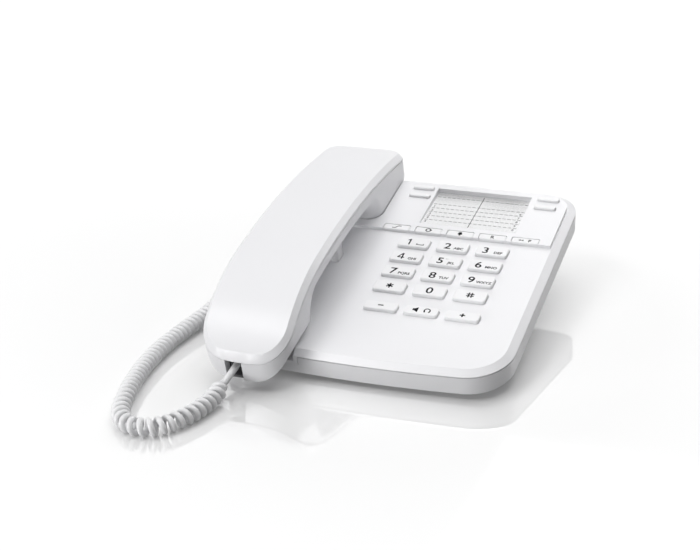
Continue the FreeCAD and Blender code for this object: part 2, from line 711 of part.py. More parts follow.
def make_lower_case():
    body = new_body("lower_case")
    outline = sketch_on(body, "wall_plan", "XY_Plane", level=seam - seam_gap)
    add_loop(outline, case_outline())
    wall = pad(body, outline, wall_below_seam, "wall_below_seam", reverse=True)
    bind(wall, "TaperAngle", "wall_taper")
    # The wedge that stands on the desk and tips the panel
    wedge = sketch_on(body, "plinth_side", "YZ_Plane")
    polygon(wedge, plinth_side(0.0, wall_bottom + run_in))
    plinth = pad(body, wedge, plinth_width, "plinth_width", middle=True)
    upright = edges_where(plinth, lambda point: near(abs(point.x), plinth_width / 2)
                          and (near(point.y, -plinth_front) or near(point.y, plinth_back)))
    round_edges(body, plinth, upright, "plinth_corner")
    tray = sketch_on(body, "tray", "XY_Plane", level=seam)
    add_loop(tray, case_outline(shell))
    pocket(body, tray, seam - tray_floor)
    hollow = sketch_on(body, "plinth_hollow", "YZ_Plane")
    polygon(hollow, plinth_side(shell, tray_floor + run_past))
    pocket(body, hollow, plinth_inside, "plinth_inside", middle=True)
    # Room for the two cups' tubs in the end walls
    for name, low, high in cup_spans():
        half = cup_half[name] + shell + plug_gap
        depth = (high - low) / 2 + shell + plug_gap
        notch = sketch_on(body, name + "_notch", "XY_Plane", handset_x, (low + high) / 2, seam)
        polygon(notch, [(-half, -depth), (half, -depth), (half, depth), (-half, depth)])
        pocket(body, notch, seam - cup_bottom)
    for index, (x, y) in enumerate(screw_places):
        hole = sketch_on(body, "floor_hole_%d" % index, "XY_Plane", x, y, tray_floor + run_in)
        circle_sketch(hole, "screw_hole")
        pocket(body, hole, shell + run_past)
    # The openings for the handset cord on the left and the line cord at the back
    left = sketch_on(body, "cord_opening", "YZ_Plane", base_socket_y, base_socket_z, -half_width)
    rounded_rectangle(left, "cord_hole_width", "cord_hole_height", "opening_corner")
    pocket(body, left, 3 * shell, middle=True)
    back = sketch_on(body, "line_opening", "XZ_Plane", line_socket_x, line_socket_z, -plinth_back)
    rounded_rectangle(back, "line_width", "line_height", "opening_corner")
    pocket(body, back, 3 * shell, middle=True)
    # The wall slots and the sound slots in the level floor
    for side in (-1, 1):
        x = side * wall_hole_spread / 2
        neck_y = wall_hole_y + 2 * wall_hole_radius - run_past
        for name, y, radius in (("wall_hole", wall_hole_y, "wall_hole_radius"),
                                ("wall_neck", neck_y, "wall_neck_radius")):
            hole = floor_sketch(body, "%s_%d" % (name, side + 1), x, y)
            circle_sketch(hole, radius)
            pocket(body, hole, shell + run_past)
        run = floor_sketch(body, "wall_run_%d" % (side + 1), x, wall_hole_y + wall_hole_radius)
        rounded_rectangle(run, "wall_neck_width", "wall_run", "wall_neck_corner")
        pocket(body, run, shell + run_past)
    sound = floor_sketch(body, "sound_slot", speaker_x, speaker_y - 2 * slot_pitch)
    rounded_rectangle(sound, "slot_length", "slot_width", "slot_corner")
    row_of(body, pocket(body, sound, shell + run_past), sound, "V_Axis", "slot_span", 5)
    return body


def plinth_side(inset, top):
    front = -plinth_front + inset
    back = plinth_back - inset
    height = foot_height + inset
    floor = [(y, ground_level(y, height)) for y in (front, back)]
    return [(front, top)] + floor + [(back, top)]


def floor_sketch(body, name, x, y):
    """A level sketch just over the plinth's floor."""
    level = ground_level(y, foot_height + shell + run_in)
    return sketch_on(body, name, "XY_Plane", x, y, level, level_again)


def make_key(name, kind, place):
    """A key cap with the flange that keeps it in the case and the stem that works its dome."""
    family = "key" if kind == "digit" else kind
    width, depth, corner, cap = (family + word for word in ("_width", "_depth", "_corner", "_cap"))
    body = new_body(name)
    x, y = place
    outline = sketch_on(body, name + "_plan", "XY_Plane", x, y, seam)
    rounded_rectangle(outline, width, depth, corner)
    top = pad(body, outline, sizes[cap], cap)
    rim = edges_where(top, lambda point: near(point.z, seam + sizes[cap]))
    round_edges(body, top, rim, "key_edge")
    flange = sketch_on(body, name + "_flange", "XY_Plane", x, y, seam)
    rounded_rectangle(flange, kind + "_flange_width", kind + "_flange_depth", "key_corner")
    pad(body, flange, flange_thick, "flange_thick", reverse=True)
    stem = sketch_on(body, name + "_stem", "XY_Plane", x, y, seam - flange_thick)
    circle_sketch(stem, "stem_radius")
    pad(body, stem, stem_length, "stem_length", reverse=True)
    if name == "key_5":
        level = seam + sizes[cap]
        pip = sketch_on(body, "pip", "XY_Plane", x + pip_x, y + pip_y, level - run_in)
        circle_sketch(pip, "pip_radius")
        raised = pad(body, pip, run_in + pip_height)
        tip = edges_where(raised, lambda point: near(point.z, level + pip_height))
        round_edges(body, raised, tip, "pip_round")
    return body


def make_mat():
    body = new_body("keypad_mat")
    outline = sketch_on(body, "mat_plan", "XY_Plane", keypad_x, mat_y, board_top)
    rounded_rectangle(outline, "mat_width", "mat_depth", "key_corner")
    pad(body, outline, mat_thick, "mat_thick")
    domes = sketch_on(body, "domes", "XY_Plane", level=mat_top)
    for name, kind, place in key_places:
        domes.addGeometry(Part.Circle(Vector(place[0], place[1], 0), Vector(0, 0, 1), dome_radius), False)
    pad(body, domes, dome_height, "dome_height")
    return body


def make_board():
    body = new_body("main_board")
    outline = sketch_on(body, "board_plan", "XY_Plane", keypad_x, board_y, board_bottom)
    rounded_rectangle(outline, "board_width", "board_depth", "key_corner")
    pad(body, outline, board_thick, "board_thick")
    for index, (x, y) in enumerate(board_posts):
        hole = sketch_on(body, "screw_hole_%d" % index, "XY_Plane", x, y, board_top + run_in)
        circle_sketch(hole, "screw_hole")
        pocket(body, hole, board_thick + run_past)
    return body


def make_screws(name, places, seat, reach):
    """Pan-head screws driven upward, each head seated under one level."""
    pieces = []
    for index, (x, y) in enumerate(places):
        for part, radius, low, height in (("head", "screw_head", seat - head_thick, head_thick),
                                          ("shank", "screw_radius", seat - run_in, reach + run_in)):
            cylinder = document.addObject("Part::Cylinder", "%s_%s_%d" % (name, part, index))
            bind(cylinder, "Radius", radius)
            cylinder.Height = height
            cylinder.Placement.Base = Vector(x, y, low)
            pieces.append(cylinder)
    group = document.addObject("Part::MultiFuse", name)
    group.Shapes = pieces
    group.Label = name
    return group


def card_strip(body, name, low, high, trim):
    """A strip between two heights over the card recess's floor."""
    fall = (card_deep - card_shallow) / (card_back - card_front)
    front = card_front + trim
    back = card_back - trim
    floor = [(y, rear_step - card_shallow - fall * (y - card_front)) for y in (front, back)]
    side = sketch_on(body, name, "YZ_Plane", level=card_x)
    lower = [(y, z + low) for y, z in floor]
    upper = [(y, z + high) for y, z in reversed(floor)]
    polygon(side, lower + upper)
    return side


def make_card():
    body = new_body("directory_card")
    side = card_strip(body, "card_side", 0.0, card_thick, 2 * card_gap)
    pad(body, side, card_paper, "card_paper", middle=True)
    return body


def make_window():
    body = new_body("card_window")
    side = card_strip(body, "window_side", card_thick, card_thick + window_thick, card_gap)
    pad(body, side, card_cover, "card_cover", middle=True)
    return body


def make_hook_plunger():
    body = new_body("hook_plunger")
    post = sketch_on(body, "post", "XY_Plane", hook_x, hook_y, hook_flange)
    rounded_rectangle(post, "hook_width", "hook_length", "hook_corner")
    top = pad(body, post, hook_post, "hook_post")
    rim = edges_where(top, lambda point: near(point.z, hook_flange + hook_post))
    round_edges(body, top, rim, "hook_edge")
    flange = sketch_on(body, "flange", "XY_Plane", hook_x, hook_y, hook_flange)
    rounded_rectangle(flange, "hook_flange_width", "hook_flange_length", "hook_corner")
    pad(body, flange, flange_thick, "flange_thick", reverse=True)
    return body


def make_hook_switch():
    body = new_body("hook_switch")
    block = sketch_on(body, "block", "XY_Plane", hook_x, hook_y, tray_floor)
    rounded_rectangle(block, "switch_width", "switch_length", "opening_corner")
    pad(body, block, switch_height, "switch_height")
    return body


def make_loudspeaker():
    body = new_body("loudspeaker")
    side = sketch_on(body, "cone_side", "XZ_Plane")
    neck = speaker_height - magnet_height
    cone = [(speaker_radius, 0), (speaker_radius, speaker_rim), (magnet_radius + speaker_rim, neck)]
    magnet = [(magnet_radius, neck), (magnet_radius, speaker_height), (0, speaker_height)]
    polygon(side, [(0, 0)] + cone + magnet)
    turned = body.newObject("PartDesign::Revolution", "cone")
    turned.Profile = side
    turned.ReferenceAxis = (side, ["V_Axis"])
    turned.Angle = 360
    body.Tip = turned
    return body


def make_socket(name, width, height, length, wall, floor):
    """A socket with its mouth at its own origin, facing minus Y, closed at the far end."""
    body = new_body(name)
    outer = sketch_on(body, name + "_block", "XZ_Plane")
    half = sizes[width] / 2 + wall
    top = sizes[height] / 2 + wall
    polygon(outer, [(-half, -top), (half, -top), (half, top), (-half, top)])
    pad(body, outer, length, reverse=True)
    mouth = sketch_on(body, name + "_mouth", "XZ_Plane")
    half = sizes[width] / 2
    top = sizes[height] / 2
    polygon(mouth, [(-half, -top), (half, -top), (half, top), (-half, top)])
    pocket(body, mouth, length - floor)
    return body


def make_plug(name):
    """A cord plug lying on its socket's floor, with its cord end at its own origin."""
    body = new_body(name)
    block = sketch_on(body, name + "_block", "XZ_Plane")
    half = plug_width / 2
    top = plug_height / 2
    polygon(block, [(-half, -top), (half, -top), (half, top), (-half, top)])
    pad(body, block, plug_length, "plug_length", reverse=True)
    return body


def handset_blank(body, name):
    plan = sketch_on(body, name + "_plan", "XY_Plane", level=under_handset / 2)
    add_loop(plan, handset_outline())
    return pad(body, plan, (over_handset - under_handset) / 2 + crown_z / 2)


def cut_side(body, name, edges):
    side = sketch_on(body, name, "YZ_Plane")
    add_loop(side, edges)
    return pocket(body, side)


def beside_curve(drop, level, rise=0.0):
    """Everything between the handset's side curve and a level over or under it, as a closed loop."""
    curves = crown_curve(drop, past_back, past_front, rise)
    start = ends_of(curves[0])[0]
    end = ends_of(curves[1])[1]
    corners = [end, (past_front, level), (past_back, level), start]
    return list(curves) + [line(a, b) for a, b in zip(corners, corners[1:])]


def touches(face, point):
    return face.distToShape(Part.Vertex(point))[0] < 0.01


def make_handset_cover():
    body = new_body("handset_cover")
    handset_blank(body, "cover")
    cut_side(body, "cover_over", beside_curve(0.0, over_handset))
    top = cut_side(body, "cover_under", beside_curve(cover_thick, under_handset, nose_rise))
    document.recompute()
    crown = [face for face in top.Shape.Faces if face.normalAt(0.5, 0.5).z > 0.3]
    rim = edges_where(top, lambda point: any(touches(face, point) for face in crown))
    seams = edges_where(top, lambda point: all(touches(face, point) for face in crown))
    bevel_edges(body, top, [name for name in rim if name not in seams], "cover_bevel", "cover_bevel")
    return body


def grip_side(inset, end_inset, back, front, level, mouth_low):
    """The handset's underside, moved in by two insets, and all from it to a level, as a closed loop."""
    ear = ear_front + end_inset
    mouth = mouth_back - end_inset
    low = cup_floor + inset
    drop = grip_thick - inset
    ear_top = (ear - block_lean, crown_height(ear - block_lean, drop))
    mouth_top = (mouth + block_lean, crown_height(mouth + block_lean, drop))
    centre = (crown_y, crown_z - crown_radius)
    radius = crown_radius - drop
    start = math.atan2(ear_top[1] - centre[1], ear_top[0] - centre[0])
    end = math.atan2(mouth_top[1] - centre[1], mouth_top[0] - centre[0])
    corners = [mouth_top, (mouth, mouth_low), (front, mouth_low), (front, level)]
    corners += [(back, level), (back, low), (ear, low), ear_top]
    return [arc(centre, radius, start, end)] + [line(a, b) for a, b in zip(corners, corners[1:])]


def chin_outline():
    """The handset's plan at its front end only."""
    half = handset_width / 2
    edges = handset_outline()[4:7]
    back = chin_length - handset_front
    left = ends_of(edges[0])[0]
    right = ends_of(edges[2])[1]
    corners = [right, (handset_x + half, back), (handset_x - half, back), left]
    return edges + [line(a, b) for a, b in zip(corners, corners[1:])]


def beside_hull(side):
    """What is cut from one side of the mouth end, as a closed loop about the handset's middle."""
    half = side * handset_width / 2
    foot = side * hull_side
    far = half + side * run_past
    start = 1.5 * math.pi if side > 0 else math.pi
    corners = [(half, hull_top), (far, hull_top), (far, under_handset)]
    corners += [(foot, under_handset), (foot, cup_floor)]
    edges = [line(a, b) for a, b in zip(corners, corners[1:])]
    return edges + [arc((foot, hull_top), hull_round, start, start + math.pi / 2)]


def make_handset_body():
    body = new_body("handset_body")
    handset_blank(body, "body")
    cut_side(body, "body_over", beside_curve(cover_thick + seam_gap, over_handset, nose_rise))
    shape = cut_side(body, "body_under", grip_side(0.0, 0.0, past_back, past_front, under_handset, cup_floor))
    corners = edges_where(shape, lambda point: is_block_corner(point.y, point.z))
    shape = round_edges(body, shape, corners, "block_round")
    round_edges(body, shape, sole_edges(shape), "body_edge")
    # The upright chin, and the round hull of the mouth end
    chin = sketch_on(body, "chin", "XY_Plane", level=cup_floor)
    add_loop(chin, chin_outline())
    pad(body, chin, chin_height, "chin_height")
    hull = sketch_on(body, "hull", "XZ_Plane", handset_x, 0, -past_front)
    for side in (-1, 1):
        add_loop(hull, beside_hull(side))
    pocket(body, hull, turn_y - past_front)
    # The hollow for the capsules and the weight
    hollow_back = handset_back - back_corner - hollow_margin
    hollow_front = front_corner + hollow_margin - handset_front
    inside = sketch_on(body, "hollow", "YZ_Plane", level=handset_x)
    add_loop(inside, grip_side(body_wall, hollow_end, hollow_back, hollow_front, over_handset, mouth_floor))
    pocket(body, inside, handset_inside, "handset_inside", middle=True)
    well = sketch_on(body, "microphone_well", "XY_Plane", microphone_x, microphone_y, mouth_floor + run_in)
    circle_sketch(well, "well_radius")
    pocket(body, well, mouth_floor + run_in - cup_floor - body_wall)
    # The bay for the cord socket and the sound holes of the two capsules
    mouth = socket_set_back - handset_front
    bay = sketch_on(body, "socket_bay", "XY_Plane", handset_socket_x, mouth, socket_top + bay_room)
    out = -front_corner
    half = socket_half
    polygon(bay, [(-half, out), (half, out), (half, socket_length), (-half, socket_length)])
    pocket(body, bay, socket_top + bay_room - under_handset)
    holes = sketch_on(body, "sound_holes", "XY_Plane", handset_x, 0, cup_floor)
    for index in range(6):
        turn = index * math.pi / 3
        for reach in (sound_ring, 2 * sound_ring):
            centre = Vector(reach * math.cos(turn), receiver_y + reach * math.sin(turn), 0)
            holes.addGeometry(Part.Circle(centre, Vector(0, 0, 1), sound_hole), False)
    for step in (-1, 0, 1):
        centre = Vector(microphone_offset + sound_pitch * step, microphone_y, 0)
        holes.addGeometry(Part.Circle(centre, Vector(0, 0, 1), sound_hole), False)
    pocket(body, holes, 3 * body_wall, middle=True)
    return body


def is_block_corner(y, z):
    drop = grip_thick
    for foot, way in ((ear_front, -1), (mouth_back, 1)):
        top = foot + way * block_lean
        if near(y, foot) and near(z, cup_floor):
            return True
        if near(y, top) and near(z, crown_height(top, drop)):
            return True
    return False


def sole_edges(item):
    """The closed line where the handset's upright sides meet the faces that look down."""
    document.recompute()
    found = []
    for index, edge in enumerate(item.Shape.Edges):
        middle = edge.valueAt((edge.FirstParameter + edge.LastParameter) / 2)
        rises = []
        for face in item.Shape.ancestorsOfType(edge, Part.Face):
            rises.append(face.normalAt(*face.Surface.parameter(middle)).z)
        if min(rises) < -0.1 and near(max(rises), 0):
            found.append("Edge%d" % (index + 1))
    return found


def make_block(name, width, depth, corner, height, x, y, level):
    body = new_body(name)
    plan = sketch_on(body, name + "_plan", "XY_Plane", x, y, level)
    rounded_rectangle(plan, width, depth, corner)
    pad(body, plan, sizes[height], height)
    return body


def make_capsule(name, radius, height, x, y, level):
    body = new_body(name)
    plan = sketch_on(body, name + "_plan", "XY_Plane", x, y, level)
    circle_sketch(plan, radius)
    pad(body, plan, sizes[height], height)
    return body


def make_feet(placement):
    """Four rubber feet under the plinth, in the room's frame."""
    pieces = []
    for index, (x, y) in enumerate(foot_places):
        foot = document.addObject("Part::Cylinder", "foot_%d" % index)
        bind(foot, "Radius", "foot_radius")
        bind(foot, "Height", "foot_height")
        spot = placement.multVec(Vector(x, y, ground_level(y, foot_height)))
        foot.Placement.Base = Vector(spot.x, spot.y, 0)
        pieces.append(foot)
    group = document.addObject("Part::Compound", "rubber_feet")
    group.Links = pieces
    group.Label = "rubber_feet"
    return group


foot_places = [(side * (plinth_width / 2 - foot_inset), y) for side in (-1, 1)
               for y in (foot_inset - plinth_front, plinth_back - foot_inset)]


def unit(vector):
    return vector * (1.0 / vector.Length)


def route_pieces(points):
    """Straight runs joined by tangent arcs, each as large as its two runs allow."""
    pieces = []
    here = points[0]
    for before, corner, after in zip(points, points[1:], points[2:]):
        way_in = unit(corner - before)
        way_out = unit(after - corner)
        turn = way_in.getAngle(way_out)
        reach = 0.45 * min((corner - before).Length, (after - corner).Length)
        radius = reach / math.tan(turn / 2)
        start = corner - way_in * reach
        axis = unit(way_in.cross(way_out))
        centre = start + axis.cross(way_in) * radius
        pieces.append(("run", here, way_in, (start - here).Length, None))
        pieces.append(("arc", start, way_in, radius * turn, (centre, axis, radius)))
        here = corner + way_out * reach
    last = points[-1] - here
    pieces.append(("run", here, unit(last), last.Length, None))
    return pieces


def on_route(pieces, distance):
    """The point and direction that far along the route."""
    for kind, start, way, length, bend in pieces:
        if distance <= length or (kind, start, way, length, bend) is pieces[-1]:
            break
        distance -= length
    if kind == "run":
        return start + way * distance, way
    centre, axis, radius = bend
    turn = FreeCAD.Rotation(axis, math.degrees(distance / radius))
    return centre + turn.multVec(start - centre), turn.multVec(way)


def arc_edge(start, corner, end):
    """The arc from start to end whose end tangents meet at corner."""
    chord = end - start
    middle = start + chord * 0.5
    rise = corner - middle
    if rise.Length < 1e-4:
        return Part.LineSegment(start, end).toShape()
    half = math.atan2(rise.Length, chord.Length / 2)
    top = middle + unit(rise) * (chord.Length / 2 * math.tan(half / 2))
    return Part.Arc(start, top, end).toShape()


def biarc(start, way_in, end, way_out):
    """Two tangent arcs between two points with given directions."""
    chord = end - start
    both = way_in + way_out
    spread = 2 * (1 - way_in.dot(way_out))
    along = chord.dot(both)
    if spread < 1e-9:
        reach = chord.dot(chord) / (4 * chord.dot(way_in))
    else:
        reach = (math.sqrt(along ** 2 + spread * chord.dot(chord)) - along) / spread
    first = start + way_in * reach
    second = end - way_out * reach
    middle = (first + second) * 0.5
    return [arc_edge(start, first, middle), arc_edge(middle, second, end)]


def smooth(part):
    part = min(max(part, 0.0), 1.0)
    return part * part * (3 - 2 * part)


class CurlyCord:
    """A wire that leaves one plug straight, curls about a route and reaches the other plug straight."""

    def __init__(self, route):
        self.pieces = route_pieces(route)
        self.length = sum(piece[3] for piece in self.pieces)
        self.first = lead_at_handset
        self.last = self.length - lead_at_base
        self.step = 0.25
        self.frames = []
        self.phases = []
        side = Vector(1, 0, 0)
        phase = 0.0
        for index in range(int(self.length / self.step) + 2):
            place, way = on_route(self.pieces, min(index * self.step, self.length))
            side = unit(side - way * side.dot(way))
            self.frames.append(side)
            self.phases.append(phase)
            if self.first <= index * self.step <= self.last:
                phase += 2 * math.pi * self.step / self.pitch(index * self.step)

    def pitch(self, distance):
        """Open curls by the handset, a little room in the bend and close curls along the far run."""
        for (start, before), (end, after) in zip(pitch_marks, pitch_marks[1:]):
            if distance <= end:
                return before + (after - before) * smooth((distance - start) / (end - start))
        return pitch_marks[-1][1]

    def point(self, distance):
        place, way = on_route(self.pieces, distance)
        index = min(int(distance / self.step), len(self.frames) - 2)
        part = distance / self.step - index
        side = self.frames[index]
        side = unit(side - way * side.dot(way))
        phase = self.phases[index] + part * (self.phases[index + 1] - self.phases[index])
        grow = smooth((distance - self.first) / curl_ramp) * smooth((self.last - distance) / curl_ramp)
        radius = grow * (coil_diameter - wire_diameter) / 2
        return place + side * (radius * math.cos(phase)) + way.cross(side) * (radius * math.sin(phase))

    def direction(self, distance):
        small = 0.02
        low = max(distance - small, 0.0)
        high = min(distance + small, self.length)
        return unit(self.point(high) - self.point(low))

    def marks(self):
        """Where the biarcs meet: along the leads, then every half turn of the curls."""
        found = [wire_diameter]
        while found[-1] < self.first - 2.0:
            found.append(found[-1] + min(4.0, self.first - found[-1]))
        for index in range(1, len(self.phases)):
            low = self.phases[index - 1]
            high = self.phases[index]
            edge = (index - 1) * self.step
            near_end = edge < self.first + curl_ramp or edge > self.last - curl_ramp
            part = math.pi / 2 if near_end else math.pi
            turns = int(high / part)
            if turns > int(low / part):
                found.append(edge + self.step * (turns * part - low) / (high - low))
        found.append(self.last)
        while found[-1] < self.length - wire_diameter - 0.1:
            found.append(min(found[-1] + 4.0, self.length - wire_diameter))
        kept = [found[0]]
        for mark in found[1:]:
            if mark > kept[-1] + 0.5:
                kept.append(mark)
        return kept

    def wire(self):
        marks = self.marks()
        places = [self.point(mark) for mark in marks]
        ways = [self.direction(mark) for mark in marks]
        start = self.point(0.0)
        end = self.point(self.length)
        ways[0] = unit(places[0] - start)
        ways[-1] = unit(end - places[-1])
        edges = [Part.LineSegment(start, places[0]).toShape()]
        for index in range(len(marks) - 1):
            edges += biarc(places[index], ways[index], places[index + 1], ways[index + 1])
        edges.append(Part.LineSegment(places[-1], end).toShape())
        return Part.Wire(edges)


def least_gap(points, spacing):
    """The least gap between stretches of one wire, from points set that far apart along it."""
    cell = 2 * wire_diameter
    apart = int(3 * wire_diameter / spacing)
    boxes = {}
    least = 10 * wire_diameter
    for index, point in enumerate(points):
        key = (int(point.x // cell), int(point.y // cell), int(point.z // cell))
        boxes.setdefault(key, []).append(index)
    for (x, y, z), own in boxes.items():
        close = []
        for shift in range(27):
            key = (x + shift % 3 - 1, y + shift // 3 % 3 - 1, z + shift // 9 - 1)
            close += boxes.get(key, [])
        for index in own:
            for other in close:
                if other > index + apart:
                    least = min(least, (points[index] - points[other]).Length)
    return least - wire_diameter


def make_cord(start, way_out, end, way_in):
    route = [start, start + way_out * cord_lead] + route_middle + [end - way_in * cord_lead, end]
    cord = CurlyCord(route)
    path = cord.wire()
    bends = [piece[4][2] for piece in cord.pieces if piece[0] == "arc"]
    print("cord route radii, mm:", " ".join("%.1f" % bend for bend in bends))
    ring = Part.Wire(Part.Circle(start, way_out, wire_diameter / 2).toShape())
    solid = path.makePipeShell([ring], True, False)
    spacing = 0.3
    gap = least_gap(path.discretize(Distance=spacing), spacing)
    section = math.pi * wire_diameter ** 2 / 4
    print("cord curls: %.1f, wire length: %.1f mm, least gap to itself: %.2f mm" %
          (cord.phases[-1] / (2 * math.pi), path.Length, gap))
    print("cord volume: %.1f mm3, section times length: %.1f mm3" % (solid.Volume, section * path.Length))
    item = document.addObject("Part::Feature", "curly_cord")
    item.Shape = solid
    item.Label = "curly_cord"
    return item


# The cord's route in the room's frame, in millimetres, from the handset's socket round to the base's
route_middle = [Vector(*point) for point in (
    (-59.5, -112.0, 7.7), (-60.1, -121.5, 5.5), (-62.2, -133.0, 5.3), (-66.3, -143.4, 5.3),
    (-72.0, -152.5, 5.3), (-79.0, -157.1, 5.3), (-86.6, -157.6, 5.3), (-93.4, -154.6, 5.3),
    (-98.8, -148.8, 5.3), (-102.6, -140.6, 5.3), (-106.2, -129.0, 5.3), (-109.8, -115.5, 5.3),
    (-112.4, -101.0, 5.3), (-113.8, -85.5, 5.3), (-113.9, -70.0, 5.3), (-112.6, -55.5, 5.4),
    (-110.4, -42.0, 5.6), (-107.9, -30.0, 6.2), (-105.3, -18.5, 8.4), (-103.0, -7.5, 12.6),
    (-101.0, 3.5, 18.2), (-98.4, 13.2, 24.4), (-94.4, 20.4, 29.2))]
lead_at_handset = size("lead_at_handset", 13.0)
lead_at_base = size("lead_at_base", 20.0)
curl_ramp = size("curl_ramp", 8.0)
pitch_marks = [(0.0, 4.2), (35.0, 4.2), (52.0, 4.85), (104.0, 4.85), (122.0, 3.75), (255.0, 3.75),
               (280.0, 4.4), (400.0, 4.4)]


def assemble():
    """Make every sub-part, tip the base and handset to the slope and stand them about the origin."""
    upright = []
    upright.append(make_upper_case())
    upright.append(make_lower_case())
    for name, kind, place in key_places:
        upright.append(make_key(name, kind, place))
    upright.append(make_mat())
    upright.append(make_board())
    upright.append(make_screws("case_screws", screw_places, wall_bottom, shell + screw_bite))
    upright.append(make_screws("board_screws", board_posts, board_bottom, board_thick + screw_bite))
    upright.append(make_card())
    upright.append(make_window())
    upright.append(make_hook_plunger())
    upright.append(make_hook_switch())
    upright.append(make_handset_cover())
    upright.append(make_handset_body())
    inner_floor = cup_floor + body_wall
    upright.append(make_capsule("receiver_capsule", "receiver_radius", "receiver_height",
                                handset_x, receiver_y, inner_floor))
    upright.append(make_capsule("microphone_capsule", "microphone_radius", "microphone_height",
                                microphone_x, microphone_y, inner_floor))
    ballast_level = crown_height(crown_y, grip_thick - body_wall) + ballast_gap
    upright.append(make_block("ballast_weight", "ballast_width", "ballast_length", "opening_corner",
                              "ballast_height", handset_x, crown_y, ballast_level))
    document.recompute()
    tipped = FreeCAD.Placement(Vector(0, 0, panel_height), panel_tip)
    for item in upright:
        item.Placement = tipped
    spans = [item.Shape.optimalBoundingBox(False, False) for item in upright]
    shift = -(min(span.YMin for span in spans) + max(span.YMax for span in spans)) / 2
    print("panel's shift to the back, mm: %.3f" % shift)
    tipped = FreeCAD.Placement(Vector(0, shift, panel_height), panel_tip)
    for item in upright:
        finish(item, tipped)
    finish(make_feet(tipped), FreeCAD.Placement())
    speaker = make_loudspeaker()
    floor = ground_level(speaker_y, foot_height + shell)
    spot = tipped.multVec(Vector(speaker_x, speaker_y, floor))
    finish(speaker, FreeCAD.Placement(spot, FreeCAD.Rotation()))
    # The sockets and plugs are drawn at their own mouths and then set in place
    mouth_y = socket_set_back - handset_front
    mouth_place = FreeCAD.Placement(Vector(handset_socket_x, mouth_y, handset_socket_z), FreeCAD.Rotation())
    base_place = FreeCAD.Placement(Vector(-half_width + shell, base_socket_y, base_socket_z),
                                   FreeCAD.Rotation(Vector(0, 0, 1), -90))
    line_place = FreeCAD.Placement(Vector(line_socket_x, plinth_back - shell, line_socket_z),
                                   FreeCAD.Rotation(Vector(0, 0, 1), 180))
    plug_place = FreeCAD.Placement(Vector(0, -plug_out, -plug_gap), FreeCAD.Rotation())
    sockets = [("handset_socket", mouth_place), ("base_socket", base_place)]
    for name, place in sockets:
        socket = make_socket(name, "socket_width", "socket_height", socket_length, socket_wall, socket_wall)
        finish(socket, tipped.multiply(place))
        finish(make_plug(name.replace("socket", "plug")), tipped.multiply(place).multiply(plug_place))
    line_socket = make_socket("line_socket", "line_width", "line_height", line_socket_length,
                              line_socket_wall, line_socket_wall)
    finish(line_socket, tipped.multiply(line_place))
    ends = []
    for name, place in sockets:
        where = tipped.multiply(place).multiply(plug_place)
        ends.append((where.Base, where.Rotation.multVec(Vector(0, -1, 0))))
    cord = make_cord(ends[0][0], ends[0][1], ends[1][0], ends[1][1] * -1)
    finish(cord, FreeCAD.Placement())


assemble()
document.recompute()
os.makedirs("parts", exist_ok=True)
failed = [item.Label for item in document.Objects if "Invalid" in item.State or "Error" in item.State]
failed += [item.Label for item in nodes if item.Shape.isNull() or not item.Shape.isValid()]
if failed:
    raise RuntimeError("not sound: " + ", ".join(failed))
for item in nodes:
    item.Shape.exportStep("parts/%s.step" % item.Label)
print("sub-parts:", len(nodes))
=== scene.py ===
# %% [markdown]
# A corded desk telephone, white from end to end: a sloped case with its keys, a handset asleep in two cups
# and a curly cord between them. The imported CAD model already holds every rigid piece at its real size, so
# this lesson is about looks: light, finishes, printed legends and the cord.

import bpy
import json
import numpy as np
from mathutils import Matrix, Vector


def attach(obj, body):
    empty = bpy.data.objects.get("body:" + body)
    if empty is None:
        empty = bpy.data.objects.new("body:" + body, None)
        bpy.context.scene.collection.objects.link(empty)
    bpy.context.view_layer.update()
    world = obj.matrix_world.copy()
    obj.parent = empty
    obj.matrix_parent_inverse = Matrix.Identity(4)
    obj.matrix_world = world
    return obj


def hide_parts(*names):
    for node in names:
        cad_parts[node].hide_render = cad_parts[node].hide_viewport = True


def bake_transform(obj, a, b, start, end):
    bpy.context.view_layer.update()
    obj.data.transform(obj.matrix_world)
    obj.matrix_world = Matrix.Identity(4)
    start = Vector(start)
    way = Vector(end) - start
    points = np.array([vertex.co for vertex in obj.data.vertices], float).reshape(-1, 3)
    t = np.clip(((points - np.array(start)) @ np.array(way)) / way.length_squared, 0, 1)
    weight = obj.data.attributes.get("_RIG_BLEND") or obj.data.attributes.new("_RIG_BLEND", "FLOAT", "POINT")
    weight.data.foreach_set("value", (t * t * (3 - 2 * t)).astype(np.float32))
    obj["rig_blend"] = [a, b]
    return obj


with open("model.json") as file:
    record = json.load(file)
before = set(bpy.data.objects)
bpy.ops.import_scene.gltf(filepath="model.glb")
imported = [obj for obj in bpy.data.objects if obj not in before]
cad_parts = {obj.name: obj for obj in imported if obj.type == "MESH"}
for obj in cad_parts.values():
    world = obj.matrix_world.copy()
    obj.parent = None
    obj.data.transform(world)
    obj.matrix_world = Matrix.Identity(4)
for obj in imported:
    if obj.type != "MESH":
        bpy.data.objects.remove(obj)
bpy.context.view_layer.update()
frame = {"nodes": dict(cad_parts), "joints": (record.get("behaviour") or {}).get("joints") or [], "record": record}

# %% [markdown]
# Blender measures in metres and a telephone is drawn in millimetres, so one millimetre gets a name. The
# nodes are the CAD pieces, by name.

# %% Tools of the trade
import json
import math

import bmesh
import bpy
from mathutils import Matrix, Vector

MM = 0.001
scene = bpy.context.scene
nodes = frame["nodes"]
print("nodes:", len(nodes))

# %% [markdown]
# The camera comes first, because every later choice is judged through it. Its place was worked out from the
# photograph's own lines: the rows of keys, the case's edges and the handset's outline. A long lens from
# nearly a metre away keeps the rows almost parallel.

